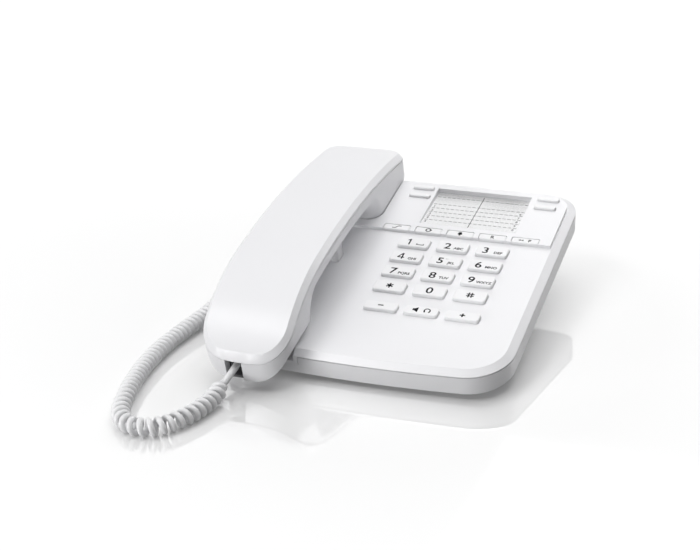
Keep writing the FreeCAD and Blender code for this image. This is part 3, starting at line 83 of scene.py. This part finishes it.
# %% The camera
HEADING = math.radians(22.21)
LOOK_DOWN = math.radians(24.04)
LEAN = math.radians(-2.52)
CAMERA_PLACE = (0.269, -0.7293, 0.3797)
LENS = 77.14
camera_data = bpy.data.cameras.new("photo_camera")
camera_data.sensor_width = 36.0
camera_data.lens = LENS
camera = bpy.data.objects.new("photo_camera", camera_data)
scene.collection.objects.link(camera)
turned = Matrix.Rotation(HEADING, 4, "Z") @ Matrix.Rotation(math.pi / 2 - LOOK_DOWN, 4, "X")
camera.matrix_world = Matrix.Translation(CAMERA_PLACE) @ turned @ Matrix.Rotation(LEAN, 4, "Z")
scene.camera = camera
scene.view_settings.view_transform = "Standard"
print("camera at", [round(value, 3) for value in camera.matrix_world.translation])

# %% [markdown]
# Shader maths reads best as plain arithmetic. The small class below wraps one output of a node, and each
# operator on it adds the Math node that does the sum. Wiring is the node tree that the nodes are added to.

# %% Wires and wiring
class Wire:
    """One output of a node. Arithmetic on it adds Math nodes."""

    def __init__(self, wiring, socket):
        self.wiring = wiring
        self.socket = socket

    def joined(self, operation, first, second):
        made = self.wiring.node("ShaderNodeMath", {"operation": operation}, {0: first, 1: second})
        return Wire(self.wiring, made.outputs[0])

    def __add__(self, other):
        return self.joined("ADD", self, other)

    __radd__ = __add__

    def __sub__(self, other):
        return self.joined("SUBTRACT", self, other)

    def __rsub__(self, other):
        return self.joined("SUBTRACT", other, self)

    def __mul__(self, other):
        return self.joined("MULTIPLY", self, other)

    __rmul__ = __mul__

    def __gt__(self, other):
        return self.joined("GREATER_THAN", self, other)

    def __or__(self, other):
        return self.joined("MAXIMUM", self, other)


class Wiring:
    """A node tree and a short way to add nodes to it."""

    def __init__(self, tree):
        self.tree = tree

    def node(self, kind, settings, sockets):
        """Add a node, set it up, then give its sockets values or wires."""
        made = self.tree.nodes.new(kind)
        for name, value in settings.items():
            setattr(made, name, value)
        for key, value in sockets.items():
            self.give(made.inputs[key], value)
        return made

    def give(self, socket, value):
        if isinstance(value, Wire):
            self.tree.links.new(value.socket, socket)
        else:
            socket.default_value = value


# %% [markdown]
# A product like this is shot on a white sweep. A wide soft box hangs above and behind it, so the tops are
# bright and the right-hand side falls to grey. A low box at the front left fills the front faces and the
# handset's nose. A strip high in front lights up the case's bevel, because its mirror image there reaches
# the camera, and a thin strip behind at the right does the same for the bevels on that side. Straight views
# and mirror views of the world see plain white, while its light on matt faces is weaker.

# %% Light
SKY_LIGHT = 0.05
world = bpy.data.worlds.new("studio")
scene.world = world
world.use_nodes = True
sky = world.node_tree.nodes["Background"]
sky.inputs["Color"].default_value = (1.0, 1.0, 1.0, 1.0)


def looked_at(wiring):
    """One for a straight, mirror or see-through view, and zero for the light on matt faces."""
    rays = wiring.node("ShaderNodeLightPath", {}, {}).outputs
    seen = Wire(wiring, rays["Is Camera Ray"]) | Wire(wiring, rays["Is Glossy Ray"])
    return seen | Wire(wiring, rays["Is Transmission Ray"])


studio = Wiring(world.node_tree)
studio.give(sky.inputs["Strength"], SKY_LIGHT + (1.0 - SKY_LIGHT) * looked_at(studio))


def soft_box(name, place, aim, power, width, depth):
    """A flat lamp of that size, hung at a place and aimed at another."""
    data = bpy.data.lights.new(name, "AREA")
    data.shape = "RECTANGLE"
    data.energy = power
    data.size = width
    data.size_y = depth
    lamp = bpy.data.objects.new(name, data)
    scene.collection.objects.link(lamp)
    facing = (Vector(place) - Vector(aim)).to_track_quat("Z", "Y").to_matrix().to_4x4()
    lamp.matrix_world = Matrix.Translation(place) @ facing


soft_box("top_box", (0.08, 0.4, 0.8), (0.08, 0.4, 0.0), 7.9, 0.7, 1.6)
soft_box("front_box", (-0.55, -0.82, 0.13), (-0.05, -0.1, 0.02), 4.4, 0.6, 0.25)
soft_box("rim_strip", (0.42, 0.68, 0.56), (0.08, 0.05, 0.04), 0.6, 0.5, 0.12)
soft_box("bevel_strip", (-0.33, -0.5, 0.85), (0.0, -0.1, 0.03), 2.0, 0.6, 0.15)

# %% [markdown]
# Most of the telephone is moulded plastic. A steel mould is eroded by sparks, which leaves a fine grain,
# and the tone drifts a little from one end of a moulding to the other. Both are noises, one very fine and
# one broad. A finish is a material with one Principled shader, and the methods below add what feeds it.

# %% A finish
class Finish(Wiring):
    """A material with one Principled shader."""

    def __init__(self, name):
        self.material = bpy.data.materials.new(name)
        self.material.use_nodes = True
        super().__init__(self.material.node_tree)
        self.shader = self.tree.nodes["Principled BSDF"]
        self.place = Wire(self, self.node("ShaderNodeTexCoord", {}, {}).outputs["Object"])

    def feed(self, name, value):
        self.give(self.shader.inputs[name], value)

    def noise(self, scale, detail=2.0, stretch=(1.0, 1.0, 1.0)):
        mapping = self.node("ShaderNodeMapping", {}, {"Vector": self.place, "Scale": stretch})
        place = Wire(self, mapping.outputs[0])
        made = self.node("ShaderNodeTexNoise", {}, {"Vector": place, "Scale": scale, "Detail": detail})
        return Wire(self, made.outputs["Fac"])

    def between(self, share, first, second):
        """A colour that goes from first to second."""
        colours = {"Factor": share, 6: (*first, 1.0), 7: (*second, 1.0)}
        return Wire(self, self.node("ShaderNodeMix", {"data_type": "RGBA"}, colours).outputs[2])

    def bump(self, height, strength, depth):
        made = self.node("ShaderNodeBump", {}, {"Height": height, "Strength": strength, "Distance": depth})
        self.feed("Normal", Wire(self, made.outputs[0]))


# %% [markdown]
# One recipe makes all the plastics and rubbers: only the tone, the roughness and the depth of the grain
# differ. Printing ink is the same again with less shine, or the lamps would turn it grey.

# %% Moulded plastics
def plastic(name, light, dark, roughness, grain=0.06):
    finish = Finish(name)
    cloud = finish.noise(9.0)
    speck = finish.noise(1800.0, 3.0)
    finish.feed("Base Color", finish.between(cloud, dark, light))
    finish.feed("Roughness", roughness + 0.08 * (speck - 0.5) + 0.05 * (cloud - 0.5))
    finish.bump(speck, grain, 0.03 * MM)
    return finish.material


case_white = plastic("case_white", (0.85, 0.85, 0.865), (0.82, 0.82, 0.84), 0.3)
key_white = plastic("key_white", (0.88, 0.88, 0.89), (0.85, 0.85, 0.865), 0.34, 0.03)
black_plastic = plastic("black_plastic", (0.035, 0.035, 0.037), (0.022, 0.022, 0.024), 0.5)
foot_rubber = plastic("foot_rubber", (0.05, 0.05, 0.05), (0.03, 0.03, 0.03), 0.8, 0.3)
mat_silicone = plastic("mat_silicone", (0.58, 0.58, 0.60), (0.5, 0.5, 0.52), 0.65, 0.1)
cord_white = plastic("cord_white", (0.84, 0.84, 0.85), (0.80, 0.80, 0.81), 0.3, 0.03)
# This dark grey is painted shade, the shade deep in the slot under the handset's jack.
slot_shade_grey = plastic("slot_shade_grey", (0.09, 0.09, 0.095), (0.06, 0.06, 0.065), 0.4)
printing_ink = plastic("printing_ink", (0.014, 0.014, 0.016), (0.01, 0.01, 0.012), 0.85)
printing_ink.node_tree.nodes["Principled BSDF"].inputs["Specular IOR Level"].default_value = 0.1
print("plastics:", len(bpy.data.materials))

# %% [markdown]
# Paper, glass, metal and the green board each need a trait of their own: fibres, clearness, brush marks and
# copper tracks that show through the lacquer. The clear plug is tinted dark grey: that tint is painted shade
# from the hollow it sits in.

# %% The other finishes
def paper():
    finish = Finish("card_paper")
    fibre = finish.noise(900.0, 5.0, (1.0, 0.25, 1.0))
    finish.feed("Base Color", finish.between(fibre, (0.86, 0.86, 0.87), (0.93, 0.93, 0.93)))
    finish.feed("Roughness", 0.75)
    finish.bump(fibre, 0.1, 0.02 * MM)
    return finish.material


def clear(name, tint, solid, roughness):
    finish = Finish(name)
    haze = finish.noise(40.0)
    finish.feed("Base Color", (*tint, 1.0))
    finish.feed("Roughness", roughness + 0.05 * haze)
    finish.feed("Alpha", solid + 0.04 * haze)
    return finish.material


def metal(name, light, dark, roughness):
    finish = Finish(name)
    brush = finish.noise(300.0, 4.0, (1.0, 8.0, 1.0))
    finish.feed("Base Color", finish.between(brush, dark, light))
    finish.feed("Metallic", 1.0)
    finish.feed("Roughness", roughness + 0.15 * (brush - 0.5))
    return finish.material


def lacquered_board():
    finish = Finish("lacquered_board")
    tracks = finish.noise(120.0, 0.0, (1.0, 0.12, 1.0)) > 0.52
    finish.feed("Base Color", finish.between(tracks, (0.02, 0.13, 0.05), (0.04, 0.22, 0.09)))
    finish.feed("Roughness", 0.35)
    finish.bump(tracks, 0.3, 0.03 * MM)
    return finish.material


finish_of_slot = {
    "case": case_white, "keys": key_white, "silicone": mat_silicone, "board": lacquered_board(),
    "steel": metal("screw_steel", (0.65, 0.65, 0.66), (0.5, 0.5, 0.52), 0.3), "paper": paper(),
    "window": clear("card_glazing", (0.95, 0.96, 0.97), 0.06, 0.1), "black_plastic": black_plastic,
    "rubber": foot_rubber, "iron": metal("speaker_iron", (0.3, 0.3, 0.31), (0.2, 0.2, 0.21), 0.5),
    # The plug's dark grey tint is painted shade from the hollow it sits in.
    "clear_plug": clear("plug_clear_painted_shade", (0.2, 0.21, 0.22), 0.45, 0.1), "cord": cord_white}
for part in frame["record"]["subparts"]:
    item = nodes[part["node"]]
    item.data.materials.clear()
    item.data.materials.append(finish_of_slot[part["material_slot"]])

# %% [markdown]
# A CAD mesh arrives as loose flat triangles, so its curves look cut with a knife. Three modifiers mend that
# without touching a vertex: Weld joins the triangles, Edge Split keeps real corners sharp, and Weighted
# Normal lets the broad faces lead, so that a flat panel stays flat beside its rounded edge.

# %% Smooth the moulded pieces
JOIN_WITHIN = 0.001 * MM
CORNER = math.radians(28)
for item in nodes.values():
    item.data.polygons.foreach_set("use_smooth", [True] * len(item.data.polygons))
    weld = item.modifiers.new("weld", "WELD")
    weld.merge_threshold = JOIN_WITHIN
    split = item.modifiers.new("split", "EDGE_SPLIT")
    split.split_angle = CORNER
    split.use_edge_sharp = False
    lead = item.modifiers.new("lead", "WEIGHTED_NORMAL")
    lead.mode = "FACE_AREA"
print("smoothed nodes:", len(nodes))

# %% [markdown]
# The panel slopes, and everything on it is laid out square to it. The lift of the handset is square to the
# panel too, so its axis tells the slope. Turning a node back by that slope gives a box in the panel's own
# frame, where a key's top or a plug's end is easy to find.

# %% The panel's frame
lift_axis = Vector(next(joint["axis"] for joint in frame["joints"] if joint["name"] == "handset_lift"))
slope = math.atan2(-lift_axis.y, lift_axis.z)
tilt = Matrix.Rotation(slope, 4, "X")


def panel_box(name):
    """A node's lowest and highest corners in the frame of the sloping panel."""
    back = tilt.inverted()
    points = [back @ vertex.co for vertex in nodes[name].data.vertices]
    low = Vector([min(point[axis] for point in points) for axis in range(3)])
    high = Vector([max(point[axis] for point in points) for axis in range(3)])
    return low, high


def panel_spot(name, x, y, z):
    """A place in a node's box, each coordinate from 0 at the low side to 1 at the high side."""
    low, high = panel_box(name)
    return Vector((low.x + x * (high.x - low.x), low.y + y * (high.y - low.y), low.z + z * (high.z - low.z)))


print("the panel's slope, degrees:", round(math.degrees(slope), 2))

# %% [markdown]
# The jack in the handset's nose sits deep in a slot. A lip below it closes the foot of the slot, so
# that the desk doesn't show through. Its dark grey is painted shade, the shade deep in the slot. It is a
# plain block with its edges broken, as wide as the jack less a little room.

# %% The jack's lip
ROOM = 0.1 * MM
LIP_BACK = 1.0 * MM
LIP_UP = 0.5 * MM
LIP_EDGE = 0.3 * MM
jack_low, jack_high = panel_box("handset_socket")
body_low = panel_box("handset_body")[0]
lip_low = Vector((jack_low.x + ROOM, body_low.y + LIP_BACK, body_low.z + LIP_UP))
lip_high = Vector((jack_high.x - ROOM, jack_high.y, jack_low.z - ROOM))
lip_shape = bmesh.new()
bmesh.ops.create_cube(lip_shape, size=1.0)
bmesh.ops.scale(lip_shape, verts=lip_shape.verts, vec=lip_high - lip_low)
bmesh.ops.translate(lip_shape, verts=lip_shape.verts, vec=(lip_low + lip_high) / 2)
bmesh.ops.bevel(lip_shape, geom=lip_shape.edges[:], offset=LIP_EDGE, affect="EDGES", segments=2, profile=0.5,
                material=-1)
bmesh.ops.transform(lip_shape, verts=lip_shape.verts, matrix=tilt)
lip_mesh = bpy.data.meshes.new("jack_lip")
lip_shape.to_mesh(lip_mesh)
lip_shape.free()
# The lip's dark grey is painted shade of the slot.
lip_mesh.materials.append(slot_shade_grey)
lip = bpy.data.objects.new("jack_lip", lip_mesh)
scene.collection.objects.link(lip)
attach(lip, "handset")
print("lip, mm:", [round(value / MM, 1) for value in lip_high - lip_low])

# %% [markdown]
# The cord is one long wire wound into curls. Its route is a smooth NURBS line through the same points
# that the CAD model uses: out of the handset, down to the desk, round a bend and back to the base.

# %% The route of the cord
LEAD = 6.0 * MM
handset_end = tilt @ panel_spot("handset_plug", 0.5, 0.0, 0.5)
base_end = tilt @ panel_spot("base_plug", 0.0, 0.5, 0.5)
out_of_handset = tilt @ Vector((0.0, -1.0, 0.0))
out_of_base = Vector((-1.0, 0.0, 0.0))
route_points = [
    (-59.5, -112.0, 7.7), (-60.1, -121.5, 5.5), (-62.2, -133.0, 5.3), (-66.3, -143.4, 5.3),
    (-72.0, -152.5, 5.3), (-79.0, -157.1, 5.3), (-86.6, -157.6, 5.3), (-93.4, -154.6, 5.3),
    (-98.8, -148.8, 5.3), (-102.6, -140.6, 5.3), (-106.2, -129.0, 5.3), (-109.8, -115.5, 5.3),
    (-112.4, -101.0, 5.3), (-113.8, -85.5, 5.3), (-113.9, -70.0, 5.3), (-112.6, -55.5, 5.4),
    (-110.4, -42.0, 5.6), (-107.9, -30.0, 6.2), (-105.3, -18.5, 8.4), (-103.0, -7.5, 12.6),
    (-101.0, 3.5, 18.2), (-98.4, 13.2, 24.4), (-94.4, 20.4, 29.2)]
route = [handset_end, handset_end + out_of_handset * LEAD]
route += [Vector(point) * MM for point in route_points]
route += [base_end + out_of_base * LEAD, base_end]


def smooth_line(name, points, fineness):
    """A NURBS curve with those control points."""
    data = bpy.data.curves.new(name, "CURVE")
    data.dimensions = "3D"
    data.resolution_u = fineness
    spline = data.splines.new("NURBS")
    spline.points.add(len(points) - 1)
    for control, point in zip(spline.points, points):
        control.co = (*point, 1.0)
    spline.order_u = 3
    spline.use_endpoint_u = True
    return data


def as_mesh(data):
    """The mesh that Blender makes of a curve."""
    holder = bpy.data.objects.new("holder", data)
    mesh = bpy.data.meshes.new_from_object(holder)
    bpy.data.objects.remove(holder)
    return mesh


line = [vertex.co.copy() for vertex in as_mesh(smooth_line("cord_route", route, 24)).vertices]
along = [0.0]
for before, after in zip(line, line[1:]):
    along.append(along[-1] + (after - before).length)
print("route length, mm:", round(along[-1] / MM, 1))

# %% [markdown]
# The curls go round that line like a spring. Their pitch is how far the wire advances in one turn: it is
# wider near the handset and in the bend, where the inner side would bunch up, and close along the far run.
# The curls swell from nothing at each straight lead.

# %% The curls
WIRE = 3.2 * MM
COIL = 10.2 * MM
LEAD_AT_HANDSET = 13.0 * MM
LEAD_AT_BASE = 20.0 * MM
CURL_RAMP = 8.0 * MM
STEPS_PER_CURL = 18
LEAD_STEP = 1.0 * MM
pitch_marks = [(0.0, 4.2), (35.0, 4.2), (52.0, 4.85), (104.0, 4.85), (122.0, 3.75), (255.0, 3.75),
               (280.0, 4.4), (400.0, 4.4)]


def ease(share):
    share = min(max(share, 0.0), 1.0)
    return share * share * (3.0 - 2.0 * share)


def pitch_at(distance):
    for (start, before), (end, after) in zip(pitch_marks, pitch_marks[1:]):
        if distance <= end * MM:
            return (before + (after - before) * ease((distance / MM - start) / (end - start))) * MM
    return pitch_marks[-1][1] * MM


wound = []
wound_at = []
phase = 0.0
distance = 0.0
side = Vector((1.0, 0.0, 0.0))
index = 0
curl_end = along[-1] - LEAD_AT_BASE
while distance < along[-1]:
    while along[index + 1] < distance:
        index += 1
    way = (line[index + 1] - line[index]).normalized()
    side = (side - way * side.dot(way)).normalized()
    place = line[index] + way * (distance - along[index])
    reach = ease((distance - LEAD_AT_HANDSET) / CURL_RAMP) * ease((curl_end - distance) / CURL_RAMP)
    reach *= (COIL - WIRE) / 2
    wound.append(place + side * (reach * math.cos(phase)) + way.cross(side) * (reach * math.sin(phase)))
    wound_at.append(distance)
    if LEAD_AT_HANDSET <= distance <= curl_end:
        phase += 2 * math.pi / STEPS_PER_CURL
        distance += pitch_at(distance) / STEPS_PER_CURL
    else:
        distance += LEAD_STEP
wound.append(line[-1])
wound_at.append(along[-1])
print("curls:", round(phase / (2 * math.pi), 1))

# %% [markdown]
# The wound line becomes a round tube. The handset can be lifted, so the tube has to stretch: its points
# follow the handset at one end and the base at the other. Two stretches of the cord lie near each other, so
# the share of each point is set by its distance along the cord and not by its place. The lead at the
# handset is a little thicker than the curls, which were drawn thinner when they were wound.

# %% The cord's tube
STRETCHED = 105.0 * MM
LEAD_SWELL = 1.2
cord_line = smooth_line("cord_line", wound, 3)
cord_path = [vertex.co.copy() for vertex in as_mesh(cord_line).vertices]
for control, distance in zip(cord_line.splines[0].points, wound_at):
    control.radius = 1.0 + (LEAD_SWELL - 1.0) * ease(2.0 - distance / LEAD_AT_HANDSET)
cord_line.bevel_depth = WIRE / 2
cord_line.bevel_resolution = 4
cord_mesh = as_mesh(cord_line)
cord_mesh.name = "curled_cord"
ring = len(cord_mesh.vertices) // len(cord_path)
tube = bmesh.new()
tube.from_mesh(cord_mesh)
bmesh.ops.holes_fill(tube, edges=tube.edges[:])
bmesh.ops.recalc_face_normals(tube, faces=tube.faces)
tube.to_mesh(cord_mesh)
tube.free()
cord_mesh.polygons.foreach_set("use_smooth", [True] * len(cord_mesh.polygons))
cord_mesh.materials.clear()
cord_mesh.materials.append(cord_white)
cord = bpy.data.objects.new("curled_cord", cord_mesh)
scene.collection.objects.link(cord)
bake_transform(cord, "base", "handset", start=base_end, end=handset_end)
shares = []
for number in range(len(cord_mesh.vertices)):
    control = number // ring * (len(wound_at) - 1) // (len(cord_path) - 1)
    shares.append(ease(1.0 - wound_at[control] / STRETCHED))
cord_mesh.attributes["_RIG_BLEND"].data.foreach_set("value", shares)
wire_length = sum((after - before).length for before, after in zip(cord_path, cord_path[1:]))
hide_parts("curly_cord")
print("wire length, m:", round(wire_length, 3), "points in a ring:", ring)

# %% [markdown]
# Legends are printed on the keys. Blender's text gives the outlines, which become a thin mesh, and bars,
# rings and wedges make the little pictures. Each legend is drawn flat about its own middle and then laid on
# the key's top, so it rides up and down with the key.

# %% Shapes of ink
INK = 0.02 * MM
CAPITAL = 0.72
RING_STEPS = 24


def words(text, height, bold=0.0, wide=1.0):
    """Words with capitals of that height, lying flat and centred on the origin."""
    # A capital is a fixed share of the font's size. Drawn with a metre for each millimetre, then brought down
    data = bpy.data.curves.new("words", "FONT")
    data.body = text
    data.size = height / MM / CAPITAL
    data.align_x = "CENTER"
    data.extrude = INK / MM / 2
    data.offset = bold / MM
    data.resolution_u = 4
    shape = bmesh.new()
    shape.from_mesh(as_mesh(data))
    bmesh.ops.scale(shape, verts=shape.verts, vec=(MM * wide, MM, MM))
    bmesh.ops.translate(shape, verts=shape.verts, vec=(0.0, -height / 2, 0.0))
    return shape


def bar(width, depth, taper=1.0):
    """A flat bar. Its left end may be made narrower."""
    shape = bmesh.new()
    bmesh.ops.create_cube(shape, size=1.0)
    bmesh.ops.scale(shape, verts=shape.verts, vec=(width, depth, INK))
    left = [vertex for vertex in shape.verts if vertex.co.x < 0]
    bmesh.ops.scale(shape, verts=left, vec=(1.0, taper, 1.0))
    return shape


def ring_of(radius, width, opening=0.0):
    """A flat ring, or an arc of one with an opening at its foot, spun from a small square."""
    shape = bmesh.new()
    bmesh.ops.create_grid(shape, x_segments=1, y_segments=1, size=0.5)
    bmesh.ops.scale(shape, verts=shape.verts, vec=(width, INK, 1.0))
    bmesh.ops.rotate(shape, verts=shape.verts, cent=(0, 0, 0), matrix=Matrix.Rotation(math.pi / 2, 3, "X"))
    bmesh.ops.translate(shape, verts=shape.verts, vec=(radius, 0.0, 0.0))
    start = opening / 2 - math.pi / 2
    bmesh.ops.rotate(shape, verts=shape.verts, cent=(0, 0, 0), matrix=Matrix.Rotation(start, 3, "Z"))
    square = shape.verts[:] + shape.edges[:] + shape.faces[:]
    bmesh.ops.spin(shape, geom=square, cent=(0, 0, 0), axis=(0, 0, 1), dvec=(0, 0, 0),
                   angle=2 * math.pi - opening, steps=RING_STEPS, use_merge=opening == 0.0)
    bmesh.ops.recalc_face_normals(shape, faces=shape.faces)
    return shape


def disc(radius):
    """A flat round spot."""
    shape = bmesh.new()
    bmesh.ops.create_cone(shape, cap_ends=True, segments=20, radius1=radius, radius2=radius, depth=INK)
    return shape


def at(shape, x, y, turn=0.0):
    """Turn a shape, then move it by millimetres."""
    bmesh.ops.rotate(shape, verts=shape.verts, cent=(0, 0, 0), matrix=Matrix.Rotation(turn, 3, "Z"))
    bmesh.ops.translate(shape, verts=shape.verts, vec=(x * MM, y * MM, 0.0))
    return shape


def print_on(name, body, shapes, place, lean=0.0):
    """Join flat shapes into one printed piece and lay it on a place of the panel."""
    whole = bmesh.new()
    for shape in shapes:
        part = bpy.data.meshes.new("part")
        shape.to_mesh(part)
        shape.free()
        whole.from_mesh(part)
    settle = Matrix.Translation(place + Vector((0.0, 0.0, INK / 2))) @ Matrix.Rotation(lean, 4, "X")
    bmesh.ops.transform(whole, verts=whole.verts, matrix=tilt @ settle)
    mesh = bpy.data.meshes.new(name)
    whole.to_mesh(mesh)
    whole.free()
    mesh.materials.append(printing_ink)
    item = bpy.data.objects.new(name, mesh)
    scene.collection.objects.link(item)
    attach(item, body)


print("ink thickness, mm:", INK / MM)

# %% [markdown]
# Each digit key carries a bold digit on its left and small letters on its right. A real key gets them from
# a soft pad dipped in ink, or from a laser. The font is thin, so its outlines are pushed outwards. That
# would close the hole of the 4, so the 4 is drawn from bars, and so are the 1 with its flag, the star, the
# hash and the space sign. Key 5 has a raised dot for the fingertip, so its print lies below its highest
# point.

# %% Digits and letters
DIGIT = 5.5 * MM
DIGIT_BOLD = 0.1 * MM
DIGIT_WIDE = 1.12
LETTER = 2.1 * MM
LETTER_BOLD = 0.08 * MM
STROKE = 0.85 * MM
THIN_STROKE = 0.75 * MM
SPACE_STROKE = 0.55 * MM
DOT = 0.4 * MM
letters = {"1": "", "2": "ABC", "3": "DEF", "4": "GHI", "5": "JKL", "6": "MNO", "7": "PQRS", "8": "TUV",
           "9": "WXYZ", "0": "", "star": "", "hash": ""}
star = [at(bar(STROKE, 4.3 * MM), 0.0, 0.0, share * math.pi / 3) for share in range(3)]
fence = [at(bar(THIN_STROKE, 4.4 * MM), x, 0.0) for x in (-0.85, 0.85)]
fence += [at(bar(4.4 * MM, THIN_STROKE), 0.0, y) for y in (-0.8, 0.8)]
one = [at(bar(STROKE, DIGIT), 0.4, 0.0), at(bar(1.7 * MM, THIN_STROKE), -0.3, 2.0, 0.6)]
four = [at(bar(STROKE, DIGIT), 0.7, 0.0), at(bar(4.2 * MM, THIN_STROKE), -0.1, -1.25)]
four.append(at(bar(4.7 * MM, THIN_STROKE), -0.65, 0.7, 0.99))
drawn = {"star": star, "hash": fence, "1": one, "4": four}
digit_at = {"1": -2.8, "2": -2.8, "3": -3.6, "4": -2.8, "5": -2.8, "6": -3.6, "7": -2.8, "8": -2.8, "9": -3.6}
for digit, group in letters.items():
    shapes = drawn[digit] if digit in drawn else [words(digit, DIGIT, DIGIT_BOLD, DIGIT_WIDE)]
    if digit in digit_at:
        shapes = [at(shape, digit_at[digit], -0.3) for shape in shapes]
    if group:
        shapes.append(at(words(group, LETTER, LETTER_BOLD), 4.0, -1.9))
    if digit == "1":
        shapes.append(at(bar(4.2 * MM, SPACE_STROKE), 4.2, -2.4))
        shapes += [at(bar(SPACE_STROKE, 1.3 * MM), 4.2 + x, -2.0) for x in (-2.0, 2.0)]
    key = "key_" + digit
    low, high = panel_box(key)
    top = 1.0 if digit != "5" else 1.0 - DOT / (high.z - low.z)
    print_on("legend_" + digit, key, shapes, panel_spot(key, 0.5, 0.5, top))
print("digit legends:", len(letters))

# %% [markdown]
# The other keys carry signs. The row in front has less, more and a loudspeaker beside a headset. The flush
# row has a hook, a ring, a bell, and the letters for recall and pause. The four keys beside the card stay
# blank, because the owner writes their names on the card.

# %% Signs on the other keys
less = [bar(3.2 * MM, 0.9 * MM)]
more = [bar(3.1 * MM, 0.9 * MM), bar(0.9 * MM, 3.1 * MM)]
speaker = [at(bar(1.0 * MM, 1.8 * MM), -4.4, 0.0), at(bar(2.0 * MM, 4.4 * MM, 0.4), -2.9, 0.0)]
headset = [at(ring_of(1.65 * MM, 0.7 * MM, 1.3), 3.4, 0.0)]
headset += [at(bar(0.9 * MM, 1.4 * MM), 3.4 + x, -0.9, -x / 4) for x in (-1.4, 1.4)]
hook = [at(bar(1.8 * MM, 0.6 * MM), -1.8, -1.0), at(bar(1.8 * MM, 0.6 * MM), 1.6, 1.0)]
hook.append(at(bar(2.6 * MM, 0.6 * MM), -0.1, 0.0, 0.9))
again = [ring_of(1.4 * MM, 0.7 * MM), at(bar(1.0 * MM, 1.2 * MM, 0.2), 1.6, 0.0)]
bell = [at(bar(2.2 * MM, 3.0 * MM, 0.5), 0.0, 0.2, -math.pi / 2), at(disc(0.7 * MM), 0.0, -1.3)]
recall = [words("R", 2.6 * MM, 0.1 * MM)]
pause = [at(bar(1.5 * MM, 1.5 * MM, 0.1), x, 0.0) for x in (-3.4, -1.8)]
pause.append(at(words("P", 2.4 * MM, 0.09 * MM), 2.6, 0.0))
signs = {"volume_down_key": less, "handsfree_key": speaker + headset, "volume_up_key": more,
         "function_key_1": hook, "function_key_2": again, "function_key_3": bell, "function_key_4": recall,
         "function_key_5": pause}
for key, shapes in signs.items():
    print_on("sign_on_" + key, key, shapes, panel_spot(key, 0.5, 0.5, 1.0))
print("signs:", len(signs))

# %% [markdown]
# The card under the window is for the owner's names and numbers. It is ruled with dashes, split down the
# middle and numbered along both sides. The card leans into its recess, so the print is given the same lean.

# %% The ruled card
DASH = 2.1 * MM
DASH_STEP = 1.4 * DASH
DASH_STROKE = 0.43 * MM
MIDDLE_STROKE = 0.4 * MM
NUMBER = 1.9 * MM
NUMBER_BOLD = 0.06 * MM
FIRST_NUMBER = 0.42
NUMBER_STEP = 0.121
CARD_THICK = 0.3 * MM
rows = [0.12, 0.35, 0.475, 0.6, 0.725, 0.85]
low, high = panel_box("directory_card")
card_width = high.x - low.x
card_depth = high.y - low.y
count = int(card_width / DASH_STEP)
card_ink = [at(bar(MIDDLE_STROKE, 0.96 * card_depth), 0.0, 0.0)]
for share in rows:
    y = (0.5 - share) * card_depth / MM
    for number in range(count):
        x = ((number + 0.5) / count - 0.5) * card_width / MM
        card_ink.append(at(bar(DASH, DASH_STROKE), x, y))
for number in range(5):
    y = (0.5 - FIRST_NUMBER - NUMBER_STEP * number) * card_depth / MM
    for value, side_share in ((number + 1, -0.47), ((number + 6) % 10, 0.46)):
        card_ink.append(at(words(str(value), NUMBER, NUMBER_BOLD), side_share * card_width / MM, y))
middle = Vector(((low.x + high.x) / 2, (low.y + high.y) / 2, (low.z + high.z + CARD_THICK) / 2))
print_on("card_ruling", "base", card_ink, middle, -math.atan2(high.z - low.z - CARD_THICK, card_depth))
print("ruled rows:", len(rows), "dashes in a row:", count)

# %% [markdown]
# Last comes the white floor. A clear coat over it mirrors the telephone faintly, as a polished table does.
# Part of its whiteness is a glow for straight and mirror views alone, which grows far from the telephone,
# where the lamps fade. It throws less light back up than it shows, so that the undersides stay grey.

# %% The floor
FLOOR_WHITE = 0.9
FLOOR_BOUNCE = 0.05
GLOW_NEAR = 0.1
GLOW_FAR = 0.7
NEAR = 0.15
FAR = 0.8
floor_shape = bmesh.new()
bmesh.ops.create_grid(floor_shape, x_segments=1, y_segments=1, size=4.0)
floor_mesh = bpy.data.meshes.new("floor")
floor_shape.to_mesh(floor_mesh)
floor_shape.free()
floor = bpy.data.objects.new("floor", floor_mesh)
scene.collection.objects.link(floor)
floor_finish = Finish("pale_floor")
seen = looked_at(floor_finish)
black_and_white = ((0.0, 0.0, 0.0), (1.0, 1.0, 1.0))
tone = FLOOR_BOUNCE + (FLOOR_WHITE - FLOOR_BOUNCE) * seen
away = floor_finish.node("ShaderNodeVectorMath", {"operation": "LENGTH"}, {0: floor_finish.place})
ramp = {"Value": Wire(floor_finish, away.outputs["Value"]), "From Min": NEAR, "From Max": FAR,
        "To Min": GLOW_NEAR, "To Max": GLOW_FAR}
glow = Wire(floor_finish, floor_finish.node("ShaderNodeMapRange", {}, ramp).outputs[0])
floor_finish.feed("Base Color", floor_finish.between(tone, *black_and_white))
floor_finish.feed("Emission Color", floor_finish.between(glow * seen, *black_and_white))
floor_finish.feed("Emission Strength", 1.0)
floor_finish.feed("Roughness", 0.6)
floor_finish.feed("Coat Weight", 1.0)
floor_finish.feed("Coat IOR", 3.0)
floor_finish.feed("Coat Roughness", 0.04)
floor_mesh.materials.append(floor_finish.material)
